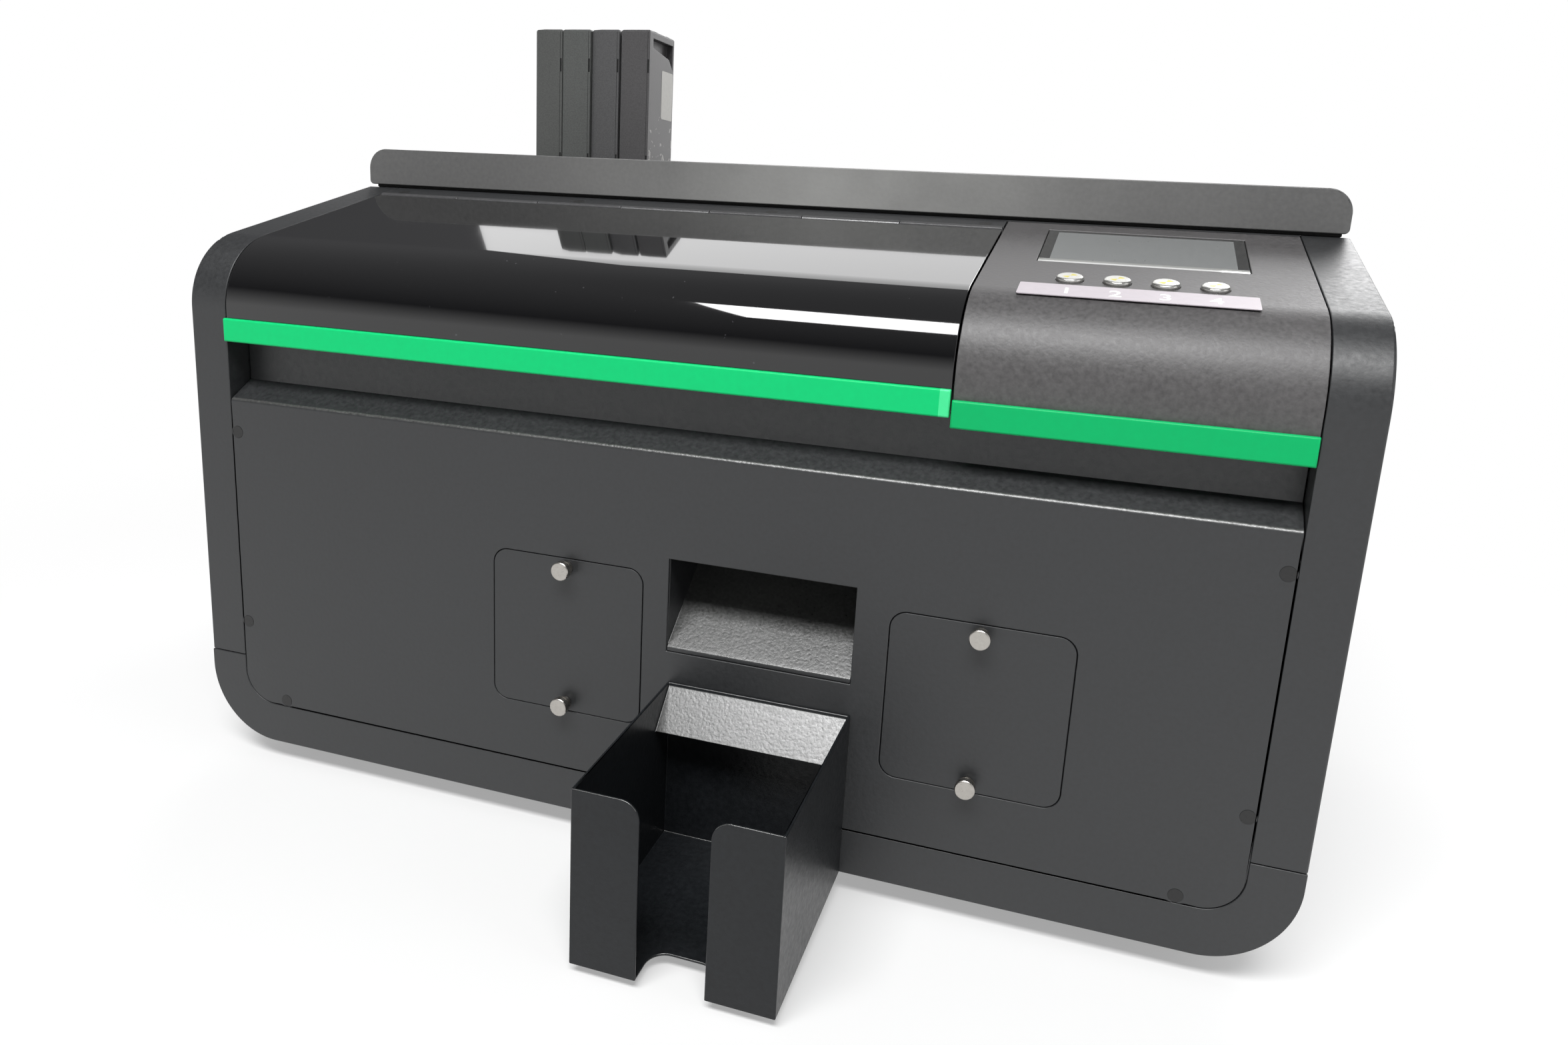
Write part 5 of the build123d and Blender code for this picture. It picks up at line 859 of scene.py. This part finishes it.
tilted = Matrix.Rotation(SLOPE, 4, "X")
label = bmesh.new()
bmesh.ops.create_cube(label, size=1)
bmesh.ops.scale(label, vec=Vector(LABEL_SIZE) * MM, verts=label.verts)
round_corners(label, 2, LABEL_CORNER)
bmesh.ops.transform(label, verts=label.verts,
                    matrix=Matrix.Translation(on_slope(LABEL_X, LABEL_ALONG, LABEL_SIZE[2] / 2)) @ tilted)
label_film = grained("label_film", (0.50, 0.455, 0.49), 0.45, grain=300, contrast=0.25, relief=0.01)
settle(label, "label_strip", [label_film], "root")
white_print = grained("white_print", (0.93, 0.93, 0.93), 0.5, grain=900, contrast=0.1, relief=0.01)
for number, button_x in enumerate(BUTTON_X, start=1):
    text = bpy.data.curves.new(f"numeral_{number}_text", "FONT")
    text.body = str(number)
    text.size = NUMERAL_HEIGHT / HEIGHT_OF_FONT * MM
    text.align_x = "CENTER"
    text.extrude = INK_THICKNESS * MM
    text.offset = STROKE_GROWTH * MM
    drawn = bpy.data.objects.new("drawn", text)
    bpy.context.scene.collection.objects.link(drawn)
    bpy.context.view_layer.update()
    figure = bmesh.new()
    figure.from_mesh(bpy.data.meshes.new_from_object(drawn))
    bpy.data.objects.remove(drawn)
    place = on_slope(button_x, NUMERAL_ALONG - NUMERAL_HEIGHT / 2, LABEL_SIZE[2])
    bmesh.ops.transform(figure, verts=figure.verts, matrix=Matrix.Translation(place) @ tilted)
    settle(figure, f"numeral_{number}", [white_print], "root")

# ---- Rear hood and hopper flap ----
# A shallow folded pan over the back of the machine, with rounded upper corners, and a near-black strip
# behind the gap under its front, as painted shade. Its flap hinges over the mouth of the card magazine.
HOOD_TOP = 343.5 * MM
HOOD_CORNER = 12 * MM
HOOD_SHEET = 2 * MM
SHEEN_MIDDLE = (0.03, -0.02, 0.33)
SHEEN_REACH = (0.27, 0.22, 0.22)


def bloomed(paint, colour):
    """A coat painted pale over its middle, in soft patches, as a painted sheen."""
    tree = paint.node_tree
    place = add_node(tree, "ShaderNodeTexCoord")
    spot = add_node(tree, "ShaderNodeMapping", {"Location": SHEEN_MIDDLE, "Scale": SHEEN_REACH},
                    vector_type="TEXTURE")
    ball = add_node(tree, "ShaderNodeTexGradient", gradient_type="QUADRATIC_SPHERE")
    cloud = add_node(tree, "ShaderNodeTexNoise", {"Scale": 11, "Detail": 4})
    broken = add_node(tree, "ShaderNodeMath", operation="MULTIPLY")
    link_nodes(
        tree,
        (place, "Object", spot, "Vector"),
        (place, "Object", cloud, "Vector"),
        (spot, "Vector", ball, "Vector"),
        (ball, "Fac", broken, 0),
        (cloud, "Fac", broken, 1),
    )
    overlay(paint, broken, 0, colour)
    return paint


# The hood's coat is a paler grey than the black coat, and part of that is painted sheen. Over its middle it
# is painted paler still, as painted sheen.
hood_coat = bloomed(grained("hood_coat", (0.098, 0.098, 0.097), 0.42, grain=450, contrast=0.55,
                            relief=0.07, specular=0.8), (0.64, 0.64, 0.62))
hood_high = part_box("rear_hood")[1]
bend_x, bend_z = hood_high.x - HOOD_CORNER, HOOD_TOP - HOOD_CORNER
hood_bends = [(1, (side * bend_x, bend_z), HOOD_CORNER - HOOD_SHEET, HOOD_CORNER) for side in (-1, 1)]
dress("rear_hood", [hood_coat], 0.6, hood_bends, segments=3)


def blocks(shape, boxes):
    """Small boxes, each from its low and high corners in millimetres."""
    for low, high in boxes:
        cube = bmesh.ops.create_cube(shape, size=1)["verts"]
        bmesh.ops.scale(shape, vec=(Vector(high) - Vector(low)) * MM, verts=cube)
        bmesh.ops.translate(shape, vec=(Vector(high) + Vector(low)) / 2 * MM, verts=cube)


# A near-black strip behind the gap under the hood's front, as painted shade.
shade_strip_black = grained("shade_strip_black", (0.012, 0.012, 0.012), 0.8, grain=700, contrast=0.5, relief=0.03)
SHADE_STRIP_LOW, SHADE_STRIP_HIGH = (-280.5, 24.5, 320.3), (280.5, 28.5, 327.0)
shade_strip = bmesh.new()
blocks(shade_strip, [(SHADE_STRIP_LOW, SHADE_STRIP_HIGH)])
round_edges(shade_strip, 0.8)
settle(shade_strip, "hood_shade_strip", [shade_strip_black], "root")
dress("hopper_flap", [black_coat], 0.3)

# ---- Ink dock and cartridges ----
# A moulded dock holds four upright ink cartridges. Each is a box with a bevelled front edge, closed
# by a side cover that snaps on through small slots. The last one has a plain white label and scuffs.
dock_plastic = grained("dock_plastic", (0.03, 0.03, 0.032), 0.5, grain=700, contrast=0.6, relief=0.03)
dress("ink_dock", [dock_plastic], 0.3)
slot_shade_black = grained("slot_shade_black", (0.002, 0.002, 0.002), 0.8, grain=900, contrast=0.3, relief=0.01)
SCUFFS_RIGHT_OF = -151.8 * MM
SCUFFS_BOTTOM, SCUFFS_TOP = 348 * MM, 396 * MM
MANY_SCUFFS, FEW_SCUFFS = 0.57, 0.75


def moulded(name, colour):
    """Black moulded plastic with the fine grain of its mould."""
    return grained(name, colour, 0.46, grain=1100, contrast=1.0, relief=0.05)


def scuffed(paint, colour):
    """Moulded plastic with pale scuffs on its right side, most of them low down."""
    tree = paint.node_tree
    place = add_node(tree, "ShaderNodeTexCoord")
    apart = add_node(tree, "ShaderNodeSeparateXYZ")
    marks = add_node(tree, "ShaderNodeTexNoise", {"Scale": 210, "Detail": 5})
    reach = add_node(tree, "ShaderNodeMapRange", {"From Min": SCUFFS_BOTTOM, "From Max": SCUFFS_TOP,
                                                  "To Min": MANY_SCUFFS, "To Max": FEW_SCUFFS})
    chipped = add_node(tree, "ShaderNodeMath", operation="GREATER_THAN")
    side = add_node(tree, "ShaderNodeMath", {1: SCUFFS_RIGHT_OF}, operation="GREATER_THAN")
    both = add_node(tree, "ShaderNodeMath", operation="MULTIPLY")
    link_nodes(
        tree,
        (place, "Object", apart, "Vector"),
        (place, "Object", marks, "Vector"),
        (apart, "X", side, 0),
        (apart, "Z", reach, "Value"),
        (marks, "Fac", chipped, 0),
        (reach, "Result", chipped, 1),
        (chipped, 0, both, 0),
        (side, 0, both, 1),
    )
    overlay(paint, both, 0, colour)
    return paint


cartridge_paints = (
    moulded("cartridge_1_plastic", (0.079, 0.082, 0.079)),
    moulded("cartridge_2_plastic", (0.084, 0.088, 0.085)),
    moulded("cartridge_3_plastic", (0.080, 0.080, 0.082)),
    scuffed(moulded("cartridge_4_plastic", (0.070, 0.068, 0.070)), (0.33, 0.32, 0.31)),
)
SEAM_SUNK, SEAM_PROUD = 0.5, 0.04
SEAM_IN, COVER_IN = 1.75, 1.5
SEAM_FROM_BOTTOM, SEAM_FROM_TOP = 1.0, 1.4
FRONT_SLOT_IN = 0.35
FRONT_SLOTS_DOWN = ((19.5, 28.5), (84.0, 93.0))
TOP_SLOT_LEFT, TOP_SLOT_RIGHT = 1.9, 0.9
TOP_SLOTS_BACK = ((8.0, 13.5), (29.0, 34.5))
for number, paint in enumerate(cartridge_paints, start=1):
    cartridge = f"ink_cartridge_{number}"
    low, high = (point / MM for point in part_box(cartridge))
    dress(cartridge, [paint], 0.45, segments=3)
    # Near-black blocks lie in the seam, as a dark joint, and in the slots, as painted shade.
    seams = bmesh.new()
    blocks(seams, [((high.x - SEAM_IN, low.y - SEAM_PROUD, low.z + SEAM_FROM_BOTTOM),
                    (high.x - COVER_IN, low.y + SEAM_SUNK, high.z - SEAM_FROM_TOP))])
    blocks(seams, [((high.x - COVER_IN, low.y - SEAM_PROUD, high.z - end),
                    (high.x - FRONT_SLOT_IN, low.y + SEAM_SUNK, high.z - start))
                   for start, end in FRONT_SLOTS_DOWN])
    blocks(seams, [((high.x - TOP_SLOT_LEFT, low.y + start, high.z - SEAM_SUNK),
                    (high.x - TOP_SLOT_RIGHT, low.y + end, high.z + SEAM_PROUD))
                   for start, end in TOP_SLOTS_BACK])
    settle(seams, f"cartridge_{number}_seams", [slot_shade_black], cartridge)
white_label = grained("white_label", (0.60, 0.59, 0.56), 0.55, grain=500, contrast=0.25, relief=0.01)
STICKER_SUNK, STICKER_PROUD = 0.3, 0.12
STICKER_FRONT, STICKER_REAR = 21.5, 40.5
STICKER_BOTTOM, STICKER_TOP = 57, 24
STICKER_CORNER = 1.2
sticker = bmesh.new()
blocks(sticker, [((high.x - STICKER_SUNK, low.y + STICKER_FRONT, high.z - STICKER_BOTTOM),
                  (high.x + STICKER_PROUD, low.y + STICKER_REAR, high.z - STICKER_TOP))])
round_corners(sticker, 0, STICKER_CORNER)
settle(sticker, "cartridge_label", [white_label], "ink_cartridge_4")

# ---- Rear panel, power inlet and switch ----
# A slotted steel plate closes the back. The moulded inlet has three blades in its mouth, and a
# rocker switch sits in a well above them.
carried(black_coat, "rear_panel")
inlet_plastic = grained("inlet_plastic", (0.018, 0.018, 0.019), 0.36, grain=700, contrast=0.4, relief=0.02)
MOUTH_X, MOUTH_Z = 205.0, 83.5
MOUTH_HALF_WIDTH, MOUTH_HALF_HEIGHT = 9.5, 6.2
MOUTH_FLOOR = 204.4


def on_blades(place, normal):
    """Whether a place is on the steel blades, which stand in the mouth of the inlet."""
    return (abs(place.x / MM - MOUTH_X) < MOUTH_HALF_WIDTH
            and abs(place.z / MM - MOUTH_Z) < MOUTH_HALF_HEIGHT
            and place.y / MM > MOUTH_FLOOR)


dress("power_inlet", [inlet_plastic, ground_steel], 0.3, mark=on_blades)
dress("power_switch", [inlet_plastic], 0.3)
